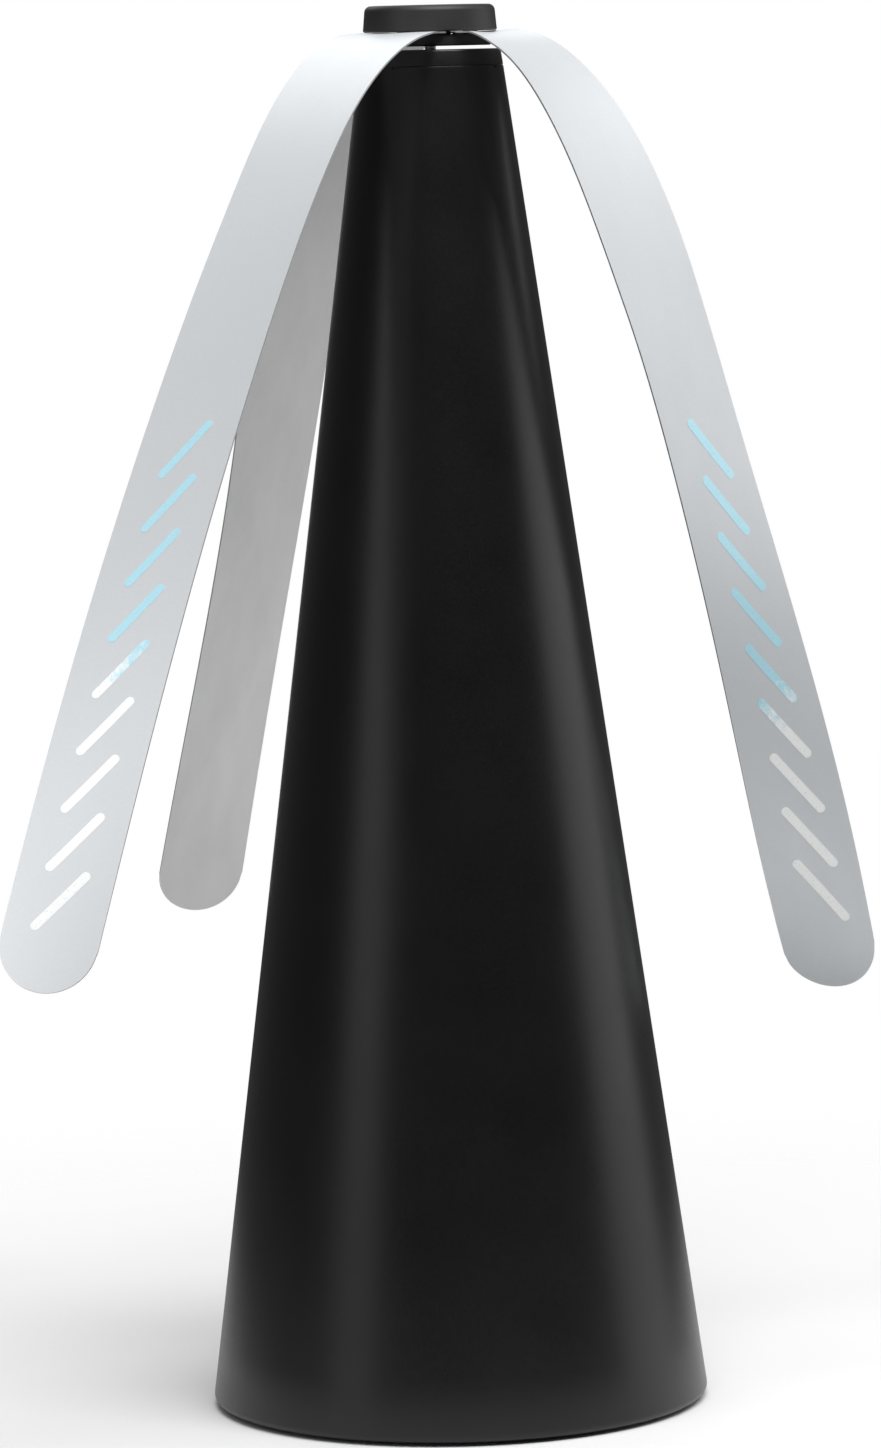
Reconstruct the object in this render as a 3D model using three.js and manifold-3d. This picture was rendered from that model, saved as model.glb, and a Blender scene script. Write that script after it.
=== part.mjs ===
// Table-top fly-repellent fan: a tapering body on four feet, a small direct-current motor under its top
// collar, and a rotor that carries three drooping film blades.
// Millimetres, +Z up. The origin is the centre of the base on the table, and the front faces -Y.
import * as THREE from "three";
import { mergeVertices } from "three/addons/utils/BufferGeometryUtils.js";
import Module from "manifold-3d";

const manifold = await Module();
manifold.setup();

// ---------------------------------------------------------------- driving dimensions
const fit = 0.3; // gap between pieces that touch
const bodyHeight = 247; // table to the top of the collar
const baseRadius = 45.6; // cone at table height
const topRadius = 12.7; // cone at the top of the collar
const wall = 1.5; // cone shell
const footWall = 1.8; // cone shell round its bosses
const rimZ = 0.6; // lower rim of the cone
const rimRound = 1.5; // its outer rounding
const collarHeight = 3; // visible band above the seam

const plateZ = 1; // underside of the base plate
const plateThickness = 2.6;
const footRadius = 4.5;
const footCircle = 36; // circle that the feet stand on
const baseScrewCircle = 37.8;
const baseScrewAngles = [90, 210, 330];
const bossRadius = 3.2;
const bossTop = 20;

const cellLength = 50.5; // AA cell over its contacts
const cellRadius = 7.1;
const cellPitch = 15.2; // between the two cells' axes
const contactRoom = 3.25; // left for a contact at each end of the cells
const trayWall = 1.2;
const doorThickness = 1.8;
const doorPinRadius = 0.45;

const switchY = -27;
const switchTravel = 3;
const knobLength = 4;
const knobWidth = 2.6;

const shaftRadius = 1;
const motorRadius = 10; // across the round sides of the can
const motorHalfFlat = 7.55; // from the axis to a flat side
const motorLength = 25;
const canSheet = 0.6;
const legThickness = 2.7;
const legHalfWidth = 4.2;

const shaftGap = 0.6; // open gap between the collar and the rotor
const hubRadius = 11;
const hubThickness = 1.95;
const hubBossRadius = 3.2;
const capRadius = 12.1;
const capHeight = 4.55;
const capTaper = 0.3;
const capRound = 1.2;
const pegCircle = 7.5;
const pegRadius = 1.3;

const filmThickness = 0.3;
const filmLength = 202; // from the clamp edge to the tip
const filmRootWidth = 23;
const filmTipWidth = 17;
const clampRadius = 9.6; // where the film leaves the clamp and starts to bend
const tabInnerRadius = 5.2;
const rootTrim = 2.3; // trimmed off each edge at the clamp, so that three films fit round the hub
const rootTrimLength = 6; // film length over which the trim runs out
const rootFlex = 3.2; // film length from the clamp edge to the first flex line
const midFlex = 27; // film length to the second flex line
const tabTaper = 54; // the tabs narrow inwards at this angle, so that three fit round the hub
const firstBlade = 229.6; // azimuth of the front left blade's place on the hub, degrees

// How much each film bends (degrees per millimetre) at these lengths, and how much it twists. A film also
// sits a little askew on its peg.
const bendStations = [0, 18, 45, 90, 200];
const twistStations = [0, 60, 200];
const blades = [
  { name: "blade_front_left", place: 0, skew: 2.7, bend: [2.66, 1.12, 0.15, 0.07, 0.09], twist: [0.39, -0.14, -0.31] },
  { name: "blade_front_right", place: 120, skew: -5.1, bend: [4.91, 1.11, 0.32, 0.02, 0.16], twist: [1.08, -0.02, 1] },
  { name: "blade_rear", place: 240, skew: 12, bend: [2.84, 1.31, 0.43, -0.1, 0.08], twist: [-0.08, -0.19, 0.48] },
];
const azimuthOf = (blade) => firstBlade + blade.place + blade.skew;

// ---------------------------------------------------------------- heights and radii that follow
const coneRadiusAt = (z) => baseRadius + ((topRadius - baseRadius) * z) / bodyHeight;
const innerRadiusAt = (z) => coneRadiusAt(z) - wall;
const seamZ = bodyHeight - collarHeight;
const plateTop = plateZ + plateThickness;
const hubZ = bodyHeight + shaftGap;
const hubTop = hubZ + hubThickness;
const filmZ = hubTop + fit + filmThickness / 2;
const capZ = filmZ + filmThickness / 2 + fit;
const capTop = capZ + capHeight;

const cellZ = plateZ + doorThickness + 0.5 + cellRadius;
const trayHalfX = cellLength / 2 + contactRoom;
const trayHalfY = cellPitch / 2 + cellRadius + 0.8;
const trayRoof = cellZ + cellRadius + 0.5;

const collarPlate = 2; // thickness of the collar's top
const motorTop = bodyHeight - collarPlate - 4;
const motorBottom = motorTop - motorLength;
const bellThickness = 3.2;
const bellBottom = motorBottom - bellThickness - fit;
const retainerThickness = 1.6;
const retainerTop = bellBottom - fit;
const legY = motorHalfFlat + fit + 0.25;

// ---------------------------------------------------------------- solids
const degrees = THREE.MathUtils.degToRad;

// A closed three.js geometry as a solid whose faces point outwards.
function solidOf(geometry) {
  const bare = geometry.index ? geometry.toNonIndexed() : geometry.clone();
  const points = new THREE.BufferGeometry().setAttribute("position", bare.getAttribute("position"));
  const merged = mergeVertices(points, 1e-3);
  const build = (triVerts) =>
    new manifold.Manifold(
      new manifold.Mesh({ numProp: 3, vertProperties: merged.attributes.position.array, triVerts }),
    );
  const triangles = new Uint32Array(merged.index.array);
  const made = build(triangles);
  return made.volume() < 0 ? build(triangles.slice().reverse()) : made;
}

function geometryOf(solid) {
  const mesh = solid.getMesh();
  const points = new Float32Array(mesh.numVert * 3);
  for (let i = 0; i < mesh.numVert; i++) {
    points.set(mesh.vertProperties.subarray(i * mesh.numProp, i * mesh.numProp + 3), i * 3);
  }
  const geometry = new THREE.BufferGeometry();
  geometry.setAttribute("position", new THREE.BufferAttribute(points, 3));
  geometry.setIndex(new THREE.BufferAttribute(mesh.triVerts, 1));
  geometry.computeVertexNormals();
  return geometry;
}

const join = (first, ...rest) => rest.reduce((whole, piece) => whole.add(piece), first);
const cut = (body, ...tools) => tools.reduce((left, tool) => left.subtract(tool), body);

// A box between two corners.
function box(x0, x1, y0, y1, z0, z1) {
  const geometry = new THREE.BoxGeometry(x1 - x0, y1 - y0, z1 - z0);
  return solidOf(geometry.translate((x0 + x1) / 2, (y0 + y1) / 2, (z0 + z1) / 2));
}

// A round bar along +Z.
function bar(radius, z0, z1, x = 0, y = 0, sides = 24) {
  const geometry = new THREE.CylinderGeometry(radius, radius, z1 - z0, sides).rotateX(Math.PI / 2);
  return solidOf(geometry.translate(x, y, (z0 + z1) / 2));
}

const ring = (outer, inner, z0, z1, sides = 24) =>
  cut(bar(outer, z0, z1, 0, 0, sides), bar(inner, z0 - 1, z1 + 1, 0, 0, sides));

// A turned solid from [radius, height] points.
function turned(points, sides) {
  const profile = points.map(([radius, height]) => new THREE.Vector2(radius, height));
  return solidOf(new THREE.LatheGeometry(profile, sides).rotateX(Math.PI / 2));
}

// A round wire along a smooth curve through points.
function wire(radius, points, steps, sides = 8) {
  const section = new THREE.Shape();
  for (let i = 0; i <= sides; i++) {
    const angle = (2 * Math.PI * i) / sides;
    const place = [radius * Math.cos(angle), radius * Math.sin(angle)];
    if (i === 0) section.moveTo(...place);
    else if (i < sides) section.lineTo(...place);
    else section.closePath();
  }
  const path = new THREE.CatmullRomCurve3(points.map((p) => new THREE.Vector3(...p)));
  return solidOf(new THREE.ExtrudeGeometry(section, { steps, extrudePath: path, bevelEnabled: false }));
}

// Turns a solid about +Z through the origin.
const turn = (solid, angle) => solid.rotate([0, 0, angle]);
const polar = (radius, angle) => [radius * Math.cos(degrees(angle)), radius * Math.sin(degrees(angle))];

// ---------------------------------------------------------------- materials
const finish = (color, roughness, metalness) => new THREE.MeshStandardMaterial({ color, roughness, metalness });
const mattBlack = finish(0x1c1c1b, 0.62, 0);
const darkPlastic = finish(0x2a2a2a, 0.55, 0);
const switchPlastic = finish(0x3a3a3a, 0.5, 0);
const filmSilver = finish(0xd8dbdd, 0.42, 0.35);
const steel = finish(0xb9bbbd, 0.3, 1);
const zincSteel = finish(0xc4c6c8, 0.35, 1);
const copper = finish(0xb56a3c, 0.35, 1);
const bronze = finish(0xa9834c, 0.45, 1);
const ferrite = finish(0x3b3b3d, 0.7, 0);
const cellSleeve = finish(0x8c9096, 0.35, 0.6);
const rubber = finish(0x1a1a1a, 0.9, 0);
const redSheath = finish(0xa8231f, 0.5, 0);
const blackSheath = finish(0x202020, 0.5, 0);

const group = new THREE.Group();

function piece(name, solid, material, userData = {}) {
  const mesh = new THREE.Mesh(geometryOf(solid), material);
  mesh.name = name;
  mesh.userData = userData;
  group.add(mesh);
}

// ---------------------------------------------------------------- body shell
const tabAngles = [61, 151, 241, 331];
const tabHalfWidth = 1.2;
const tabDepth = 0.7; // how far a snap tab reaches below the seam

function snapTab(clearance) {
  const half = tabHalfWidth + clearance;
  return box(innerRadiusAt(seamZ) - 1, topRadius + 2, -half, half, seamZ - tabDepth - clearance, seamZ + 1);
}

function coneShell() {
  const sides = 72;
  const outer = coneRadiusAt(rimZ + rimRound);
  const round = [0, 30, 60, 90].map((a) => [
    outer - rimRound + rimRound * Math.sin(degrees(a)),
    rimZ + rimRound - rimRound * Math.cos(degrees(a)),
  ]);
  const inside = [coneRadiusAt(rimZ) - footWall, rimZ];
  const stepZ = bossTop + 6;
  const shell = turned(
    [
      inside,
      ...round,
      [coneRadiusAt(seamZ), seamZ],
      [innerRadiusAt(seamZ), seamZ],
      [innerRadiusAt(stepZ + 4), stepZ + 4],
      [coneRadiusAt(stepZ) - footWall, stepZ],
      inside,
    ],
    sides,
  );
  const bottom = plateTop + 2 + fit;
  const intoWall = (z) => coneRadiusAt(z) - footWall / 2;
  const ribOutline = new THREE.Shape([
    new THREE.Vector2(baseScrewCircle, bottom),
    new THREE.Vector2(intoWall(bottom), bottom),
    new THREE.Vector2(intoWall(bossTop - 1), bossTop - 1),
    new THREE.Vector2(baseScrewCircle, bossTop - 1),
  ]);
  const bosses = baseScrewAngles.map((angle) => {
    const post = bar(bossRadius, bottom, bossTop, baseScrewCircle);
    const rib = new THREE.ExtrudeGeometry(ribOutline, { depth: 2, bevelEnabled: false });
    return turn(join(post, solidOf(rib.translate(0, 0, -1).rotateX(Math.PI / 2))), angle);
  });
  const pilots = baseScrewAngles.map((angle) => turn(bar(1.6, plateTop, bossTop - 3, baseScrewCircle, 0, 16), angle));
  const notches = tabAngles.map((angle) => turn(snapTab(fit), angle));
  return cut(join(shell, ...bosses), ...pilots, ...notches);
}

function topCollar() {
  const sides = 72;
  const bandZ = seamZ + fit;
  const plateUnder = bodyHeight - collarPlate;
  const skirtOuter = innerRadiusAt(seamZ) - fit;
  const skirtInner = motorRadius + fit;
  const skirtZ = seamZ - 8;
  const chamfer = 0.3;
  const body = turned(
    [
      [2.2, plateUnder],
      [skirtInner, plateUnder],
      [skirtInner, skirtZ],
      [skirtOuter, skirtZ],
      [skirtOuter, bandZ],
      [coneRadiusAt(bandZ), bandZ],
      [coneRadiusAt(bodyHeight - chamfer), bodyHeight - chamfer],
      [topRadius - chamfer, bodyHeight],
      [2.2, bodyHeight],
      [2.2, plateUnder],
    ],
    sides,
  );
  const tabs = tabAngles.map((angle) => {
    const reach = turned([[0, skirtZ], [topRadius + 0.2, skirtZ], [topRadius, bodyHeight], [0, bodyHeight]], sides);
    return turn(snapTab(0), angle).intersect(reach);
  });
  const legs = [90, 270].map((angle) => {
    const leg = box(legY, legY + legThickness, -legHalfWidth, legHalfWidth, bellBottom, skirtZ + 2);
    const pilot = bar(1.15, bellBottom - 1, bellBottom + 9, legY + legThickness / 2, 0, 16);
    return turn(cut(leg, pilot), angle);
  });
  return join(body, ...tabs, ...legs);
}

// ---------------------------------------------------------------- motor
// The can's outline: a round bar with two flats.
function motorProfile(inset, z0, z1) {
  const flat = motorHalfFlat - inset;
  const round = bar(motorRadius - inset, z0, z1, 0, 0, 40);
  return round.intersect(box(-motorRadius, motorRadius, -flat, flat, z0, z1));
}

const canBossRadius = 3.1;
const canBossHeight = 2;
const bushRadius = 2.2;

function motorCan() {
  const boss = bar(canBossRadius, motorTop - 0.1, motorTop + canBossHeight);
  const bore = bar(bushRadius + fit, motorTop - 2, motorTop + canBossHeight + 1);
  return cut(
    join(motorProfile(0, motorBottom, motorTop), boss),
    motorProfile(canSheet, motorBottom - 1, motorTop - canSheet),
    bore,
  );
}

function endBell() {
  const plate = motorProfile(0, bellBottom, motorBottom - fit);
  const lip = cut(
    motorProfile(canSheet + fit, motorBottom - fit, motorBottom + 1.5),
    motorProfile(canSheet + fit + 1, motorBottom - fit, motorBottom + 2),
  );
  const slots = [-1, 1].map((side) => {
    const x = side * terminalX;
    return box(x - 0.6, x + 0.6, -1.6, 1.6, bellBottom - 1, motorBottom);
  });
  return cut(join(plate, lip), bar(bushRadius + fit, bellBottom - 1, motorBottom + 1), ...slots);
}

const terminalX = 5.8;
const commutatorRadius = 2.2;

// One brush terminal: solder tab, riser and brush tip in a single strip.
function brushTerminal(side) {
  const z = motorBottom + 1.6;
  const span = (from, to) => (side > 0 ? [from, to] : [-to, -from]);
  const riser = box(...span(terminalX - 0.25, terminalX + 0.25), -1.2, 1.2, bellBottom - 5, z);
  const arm = box(...span(commutatorRadius + fit, terminalX + 0.25), -0.9, 0.9, z - 0.5, z);
  const tip = box(...span(commutatorRadius + fit, commutatorRadius + fit + 0.6), -0.9, 0.9, z - 1.2, z + 0.8);
  return join(riser, arm, tip);
}

const coreZ = motorBottom + 4.5;
const coreLength = 15;
const coreRadius = 6.4;
const armHalfWidth = 1.1;
const bore = shaftRadius + 0.2;

function armatureCore() {
  const shoes = ring(coreRadius, coreRadius - 0.9, coreZ, coreZ + coreLength, 36);
  const gaps = [60, 180, 300].map((angle) => turn(box(0, 9, -0.9, 0.9, coreZ - 1, coreZ + coreLength + 1), angle));
  const arms = [0, 120, 240].map((angle) =>
    turn(box(1.6, coreRadius - 0.5, -armHalfWidth, armHalfWidth, coreZ, coreZ + coreLength), angle),
  );
  const eye = ring(2.1, bore, coreZ, coreZ + coreLength);
  return join(cut(shoes, ...gaps), ...arms, eye);
}

function winding(angle) {
  const half = armHalfWidth + fit;
  const z0 = coreZ - fit;
  const z1 = coreZ + coreLength + fit;
  const outer = box(2.6, 4.7, -half - 0.9, half + 0.9, z0 - 0.9, z1 + 0.9);
  return turn(cut(outer, box(2, 6, -half, half, z0, z1)), angle);
}

function magnet(angle) {
  const length = 17;
  const arc = ring(motorRadius - canSheet - fit, coreRadius + 0.5, coreZ - 1, coreZ - 1 + length, 40);
  return turn(arc, 0).intersect(turn(box(0, 12, -5.6, 5.6, coreZ - 2, coreZ + length), angle));
}

function retainer() {
  const half = legY + legThickness;
  const plate = box(-8.5, 8.5, -half, half, retainerTop - retainerThickness, retainerTop);
  const slots = [-1, 1].map((side) => {
    const x = side * terminalX;
    return box(x - 0.9, x + 0.9, -1.8, 1.8, retainerTop - 3, retainerTop + 1);
  });
  const holes = [-1, 1].map((side) =>
    bar(1.2, retainerTop - 3, retainerTop + 1, 0, side * (legY + legThickness / 2), 16),
  );
  return cut(plate, bar(3.6, retainerTop - 3, retainerTop + 1), ...slots, ...holes);
}

// A pan-head screw that points up, with a crossed drive in its head.
function screw(x, y, headZ, headRadius, headHeight, shankRadius, length) {
  const head = bar(headRadius, headZ, headZ + headHeight, x, y, 20);
  const shank = bar(shankRadius, headZ + headHeight - 0.1, headZ + headHeight + length, x, y, 14);
  const reach = headRadius * 0.6;
  const slot = headRadius * 0.14;
  const depth = headZ + headHeight * 0.5;
  const drive = join(
    box(x - reach, x + reach, y - slot, y + slot, headZ - 1, depth),
    box(x - slot, x + slot, y - reach, y + reach, headZ - 1, depth),
  );
  return cut(join(head, shank), drive);
}

// ---------------------------------------------------------------- base, tray, door and cells
const doorHalfX = trayHalfX - fit;
const doorHalfY = trayHalfY - fit;
const hingeX = -doorHalfX + doorThickness / 2;
const hingeZ = plateZ + doorThickness / 2;
const switchHoleHalf = switchTravel / 2 + knobLength / 2 + 0.5;
const solderTabY = cellPitch / 2;
const housingEar = 8;

// A round bar along Y.
function crossBar(radius, y0, y1, x, z, sides = 20) {
  const geometry = new THREE.CylinderGeometry(radius, radius, y1 - y0, sides);
  return solidOf(geometry.translate(x, (y0 + y1) / 2, z));
}

function basePlate() {
  const disc = bar(coneRadiusAt(plateTop) - footWall - fit, plateZ, plateTop, 0, 0, 72);
  const tray = box(
    -trayHalfX - trayWall, trayHalfX + trayWall, -trayHalfY - trayWall, trayHalfY + trayWall,
    plateZ, trayRoof + trayWall,
  );
  const bay = box(-trayHalfX, trayHalfX, -trayHalfY, trayHalfY, plateZ - 1, trayRoof);
  const screwSeats = baseScrewAngles.map((angle) => turn(bar(4.6, plateZ, plateTop + 2, baseScrewCircle - 0.6), angle));
  const sinks = baseScrewAngles.map((angle) => turn(bar(3, plateZ - 1, plateZ + 2.6, baseScrewCircle), angle));
  const holes = baseScrewAngles.map((angle) => turn(bar(1.6, plateZ, plateTop + 3, baseScrewCircle, 0, 16), angle));
  const pinHoles = crossBar(doorPinRadius + 0.25, -doorHalfY - 1.4, doorHalfY + 1.4, hingeX, hingeZ, 12);
  const thumbNotch = bar(6, plateZ - 1, plateZ + 1.2, trayHalfX + 0.5, 0);
  const solderSlots = [-1, 1].map((side) => {
    const y = side * solderTabY;
    return box(trayHalfX - 1.4, trayHalfX + 0.2, y - 1.8, y + 1.8, trayRoof - 1, trayRoof + trayWall + 1);
  });
  const fingerDish = box(-9, 9, switchY - 5, switchY + 5, plateZ - 1, plateZ + 1.2);
  const knobSlot = box(
    -switchHoleHalf, switchHoleHalf, switchY - knobWidth / 2 - 0.4, switchY + knobWidth / 2 + 0.4,
    plateZ, plateTop + 1,
  );
  const switchPegs = [-1, 1].map((side) => bar(0.9, plateTop - 0.5, plateTop + 2, side * housingEar, switchY, 16));
  const body = cut(join(disc, tray, ...screwSeats), bay, ...sinks, ...holes, pinHoles, thumbNotch, ...solderSlots);
  return join(cut(body, fingerDish, knobSlot), ...switchPegs);
}

function batteryDoor() {
  const plate = box(hingeX, doorHalfX, -doorHalfY, doorHalfY, plateZ, plateZ + doorThickness);
  const roll = crossBar(doorThickness / 2, -doorHalfY, doorHalfY, hingeX, hingeZ);
  const pin = crossBar(doorPinRadius, -doorHalfY - 1, doorHalfY + 1, hingeX, hingeZ, 12);
  const tongue = box(doorHalfX - 1.6, doorHalfX - 0.4, -4, 4, plateZ + doorThickness - 0.1, plateZ + doorThickness + 2.8);
  return join(plate, roll, pin, tongue);
}

// An AA cell along X; side is +1 where its positive end faces +X.
function cell(y, side) {
  const nub = 1.2;
  const half = cellLength / 2;
  const profile = [
    [0, -half],
    [cellRadius - 0.6, -half],
    [cellRadius, -half + 0.6],
    [cellRadius, half - nub - 0.6],
    [cellRadius - 0.6, half - nub],
    [2.75, half - nub],
    [2.75, half],
    [0, half],
  ];
  return turned(profile, 32).rotate([0, side * 90, 0]).translate([0, y, cellZ]);
}

const contactSheet = 0.4;
const contactFace = cellLength / 2 + fit; // where a contact meets a cell's end
const contactPlateX = trayHalfX - fit - contactSheet;
const contactZ0 = plateZ + doorThickness + 3.4;
const contactZ1 = trayRoof - fit;

// Contact parts for the +X end of the tray.
function contactPlate(y, halfWidth) {
  return box(contactPlateX, contactPlateX + contactSheet, y - halfWidth, y + halfWidth, contactZ0, contactZ1);
}

function contactButton(y) {
  const button = turned([[0, 0], [2.8, 0], [2.2, -(contactPlateX - contactFace)], [0, -(contactPlateX - contactFace)]], 20);
  return button.rotate([0, 90, 0]).translate([contactPlateX + 0.1, y, cellZ]);
}

function contactCoil(y) {
  const turns = 3;
  const perTurn = 12;
  const points = [];
  const length = contactPlateX - contactFace - 0.3;
  for (let i = 0; i <= turns * perTurn; i++) {
    const along = i / (turns * perTurn);
    const angle = (2 * Math.PI * i) / perTurn;
    const radius = 4.6 - 2.2 * along;
    points.push([contactPlateX - length * along, y + radius * Math.cos(angle), cellZ + radius * Math.sin(angle)]);
  }
  return wire(0.28, points, turns * perTurn, 6);
}

function solderTab(y) {
  return box(contactPlateX, contactPlateX + contactSheet, y - 1.4, y + 1.4, contactZ1 - 1, trayRoof + trayWall + 3.5);
}

const solderTabTop = trayRoof + trayWall + 3.5;

// ---------------------------------------------------------------- slide switch
const housingZ0 = plateTop + fit;
const housingZ1 = housingZ0 + 4.5;
const carriageHalf = knobLength / 2 + 0.7;
const cavityHalf = switchTravel / 2 + carriageHalf + 0.4;
const sliderX = -switchTravel / 2; // centre of the knob when the switch is off

function switchHousing() {
  const shell = box(-cavityHalf - 1.2, cavityHalf + 1.2, switchY - 3.4, switchY + 3.4, housingZ0, housingZ1);
  const ears = box(-housingEar - 2, housingEar + 2, switchY - 2, switchY + 2, housingZ0, housingZ0 + 1);
  const cavity = box(-cavityHalf, cavityHalf, switchY - 2.2, switchY + 2.2, housingZ0 - 1, housingZ1 - 1);
  const earHoles = [-1, 1].map((side) => bar(0.9 + fit, housingZ0 - 1, housingZ1, side * housingEar, switchY, 16));
  return cut(join(shell, ears), cavity, ...earHoles);
}

function switchSlider() {
  const knob = box(
    sliderX - knobLength / 2, sliderX + knobLength / 2, switchY - knobWidth / 2, switchY + knobWidth / 2,
    plateZ + 0.4, housingZ0 + 1,
  );
  const grooves = [-1, 0, 1].map((i) =>
    box(sliderX + i - 0.2, sliderX + i + 0.2, switchY - 2, switchY + 2, plateZ, plateZ + 0.7),
  );
  const carriage = box(
    sliderX - carriageHalf, sliderX + carriageHalf, switchY - 1.8, switchY + 1.8, housingZ0 + 0.4, housingZ1 - 1.4,
  );
  return join(cut(knob, ...grooves), carriage);
}

const switchTerminalX = 2.6;
const switchTerminalTop = housingZ1 + 3.2;
const switchTerminal = (x) =>
  box(x - 0.9, x + 0.9, switchY - 0.25, switchY + 0.25, housingZ1 + 0.2, switchTerminalTop);

// ---------------------------------------------------------------- film blades
const between = (value, xs, ys) => {
  const last = xs.length - 1;
  if (value <= xs[0]) return ys[0];
  if (value >= xs[last]) return ys[last];
  const i = xs.findIndex((x, k) => value >= x && value < xs[k + 1]);
  return ys[i] + ((ys[i + 1] - ys[i]) * (value - xs[i])) / (xs[i + 1] - xs[i]);
};

// The film's middle line, width direction and outer normal at a length from the clamp edge.
function filmFrame(blade, length) {
  const azimuth = degrees(azimuthOf(blade));
  const along = new THREE.Vector3(Math.cos(azimuth), Math.sin(azimuth), 0);
  const across = new THREE.Vector3(-along.y, along.x, 0);
  const centre = new THREE.Vector3(clampRadius * along.x, clampRadius * along.y, filmZ);
  if (length <= 0) {
    centre.addScaledVector(along, length);
    return { centre, along, across, normal: new THREE.Vector3(0, 0, 1) };
  }
  const steps = Math.ceil(length * 2);
  const step = length / steps;
  for (let i = 0; i < steps; i++) {
    const at = (i + 0.5) * step;
    const bend = degrees(between(at, bendStations, blade.bend)) * step;
    const twist = degrees(between(at, twistStations, blade.twist)) * step;
    const axis = along.clone().multiplyScalar(twist).addScaledVector(across, bend);
    const angle = axis.length();
    const before = along.clone();
    if (angle > 0) {
      axis.normalize();
      along.applyAxisAngle(axis, angle);
      across.applyAxisAngle(axis, angle);
    }
    centre.addScaledVector(before.add(along), step / 2);
  }
  return { centre, along, across, normal: along.clone().cross(across) };
}

function halfWidthAt(length) {
  const full = (filmRootWidth + ((filmTipWidth - filmRootWidth) * length) / filmLength) / 2;
  const left = Math.max(0, 1 - Math.max(0, length) / rootTrimLength);
  return full - rootTrim * left * left;
}

// A strip of film through [length, half width] stations.
function filmStrip(blade, stations) {
  const points = [];
  for (const [length, half] of stations) {
    const { centre, across, normal } = filmFrame(blade, length);
    for (const [side, face] of [[-1, 1], [1, 1], [1, -1], [-1, -1]]) {
      const point = centre.clone().addScaledVector(across, side * half);
      points.push(point.addScaledVector(normal, (face * filmThickness) / 2));
    }
  }
  const triangles = [];
  const quad = (a, b, c, d) => triangles.push(a, b, c, a, c, d);
  for (let row = 0; row + 1 < stations.length; row++) {
    for (let k = 0; k < 4; k++) {
      const next = (k + 1) % 4;
      const corners = [row * 4 + k, row * 4 + next, row * 4 + 4 + next, row * 4 + 4 + k];
      if (k === 2) corners.push(corners.shift()); // both faces fold on the same diagonal, so the film keeps its thickness
      quad(...corners);
    }
  }
  const end = (stations.length - 1) * 4;
  quad(3, 2, 1, 0);
  quad(end, end + 1, end + 2, end + 3);
  const geometry = new THREE.BufferGeometry().setFromPoints(points);
  return solidOf(geometry.setIndex(triangles));
}

const evenly = (from, to, count) => Array.from({ length: count + 1 }, (_, i) => from + ((to - from) * i) / count);

function filmTab(blade) {
  const reach = clampRadius - tabInnerRadius;
  const full = halfWidthAt(0);
  const slope = Math.tan(degrees(tabTaper));
  const shoulder = full / slope + 0.5; // radius where the full width is reached
  const stations = [
    [-reach, (tabInnerRadius - 0.5) * slope],
    [shoulder - clampRadius, full],
    ...evenly(0, rootFlex - fit / 2, 2).map((length) => [length, halfWidthAt(length)]),
  ];
  const [x, y] = polar(pegCircle, azimuthOf(blade));
  return cut(filmStrip(blade, stations), bar(pegRadius + fit, hubTop, capZ + 1, x, y, 16));
}

function filmInner(blade) {
  const stations = evenly(rootFlex + fit / 2, midFlex - fit / 2, 9).map((length) => [length, halfWidthAt(length)]);
  return filmStrip(blade, stations);
}

function filmOuter(blade) {
  const tipRadius = filmTipWidth / 2;
  const straight = evenly(midFlex + fit / 2, filmLength - tipRadius, 12).map((length) => [length, halfWidthAt(length)]);
  const tip = [20, 40, 60, 75, 85].map((a) => [
    filmLength - tipRadius + tipRadius * Math.sin(degrees(a)),
    tipRadius * Math.cos(degrees(a)),
  ]);
  return filmStrip(blade, [...straight, ...tip]);
}

// The line that a film piece flexes about: a point on it and its direction, positive when the film lifts.
function flexLine(blade, length) {
  const { centre, across } = filmFrame(blade, length);
  return { point: centre.toArray(), axis: across.clone().negate().toArray() };
}

// ---------------------------------------------------------------- rotor
function rotorHub() {
  const disc = bar(hubRadius, hubZ, hubTop, 0, 0, 48);
  const boss = bar(hubBossRadius, hubTop - 0.1, capZ + 2);
  const pegs = blades.map((blade) => {
    const [x, y] = polar(pegCircle, azimuthOf(blade));
    return bar(pegRadius, hubTop - 0.1, capZ + 1.2, x, y, 16);
  });
  return cut(join(disc, boss, ...pegs), bar(bore, hubZ - 1, capZ + 3));
}

function rotorCap() {
  const edge = [0, 30, 60, 90].map((a) => [
    capRadius - capTaper - capRound + capRound * Math.cos(degrees(a)),
    capTop - capRound + capRound * Math.sin(degrees(a)),
  ]);
  const body = turned([[0, capZ], [capRadius, capZ], ...edge, [0, capTop]], 48);
  const pegHoles = blades.map((blade) => {
    const [x, y] = polar(pegCircle, azimuthOf(blade));
    return bar(pegRadius + fit, capZ - 1, capZ + 1.6, x, y, 16);
  });
  return cut(body, bar(hubBossRadius + fit, capZ - 1, capZ + 3), ...pegHoles);
}

// ---------------------------------------------------------------- assembly
piece("cone_shell", coneShell(), mattBlack);
piece("top_collar", topCollar(), mattBlack);

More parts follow.
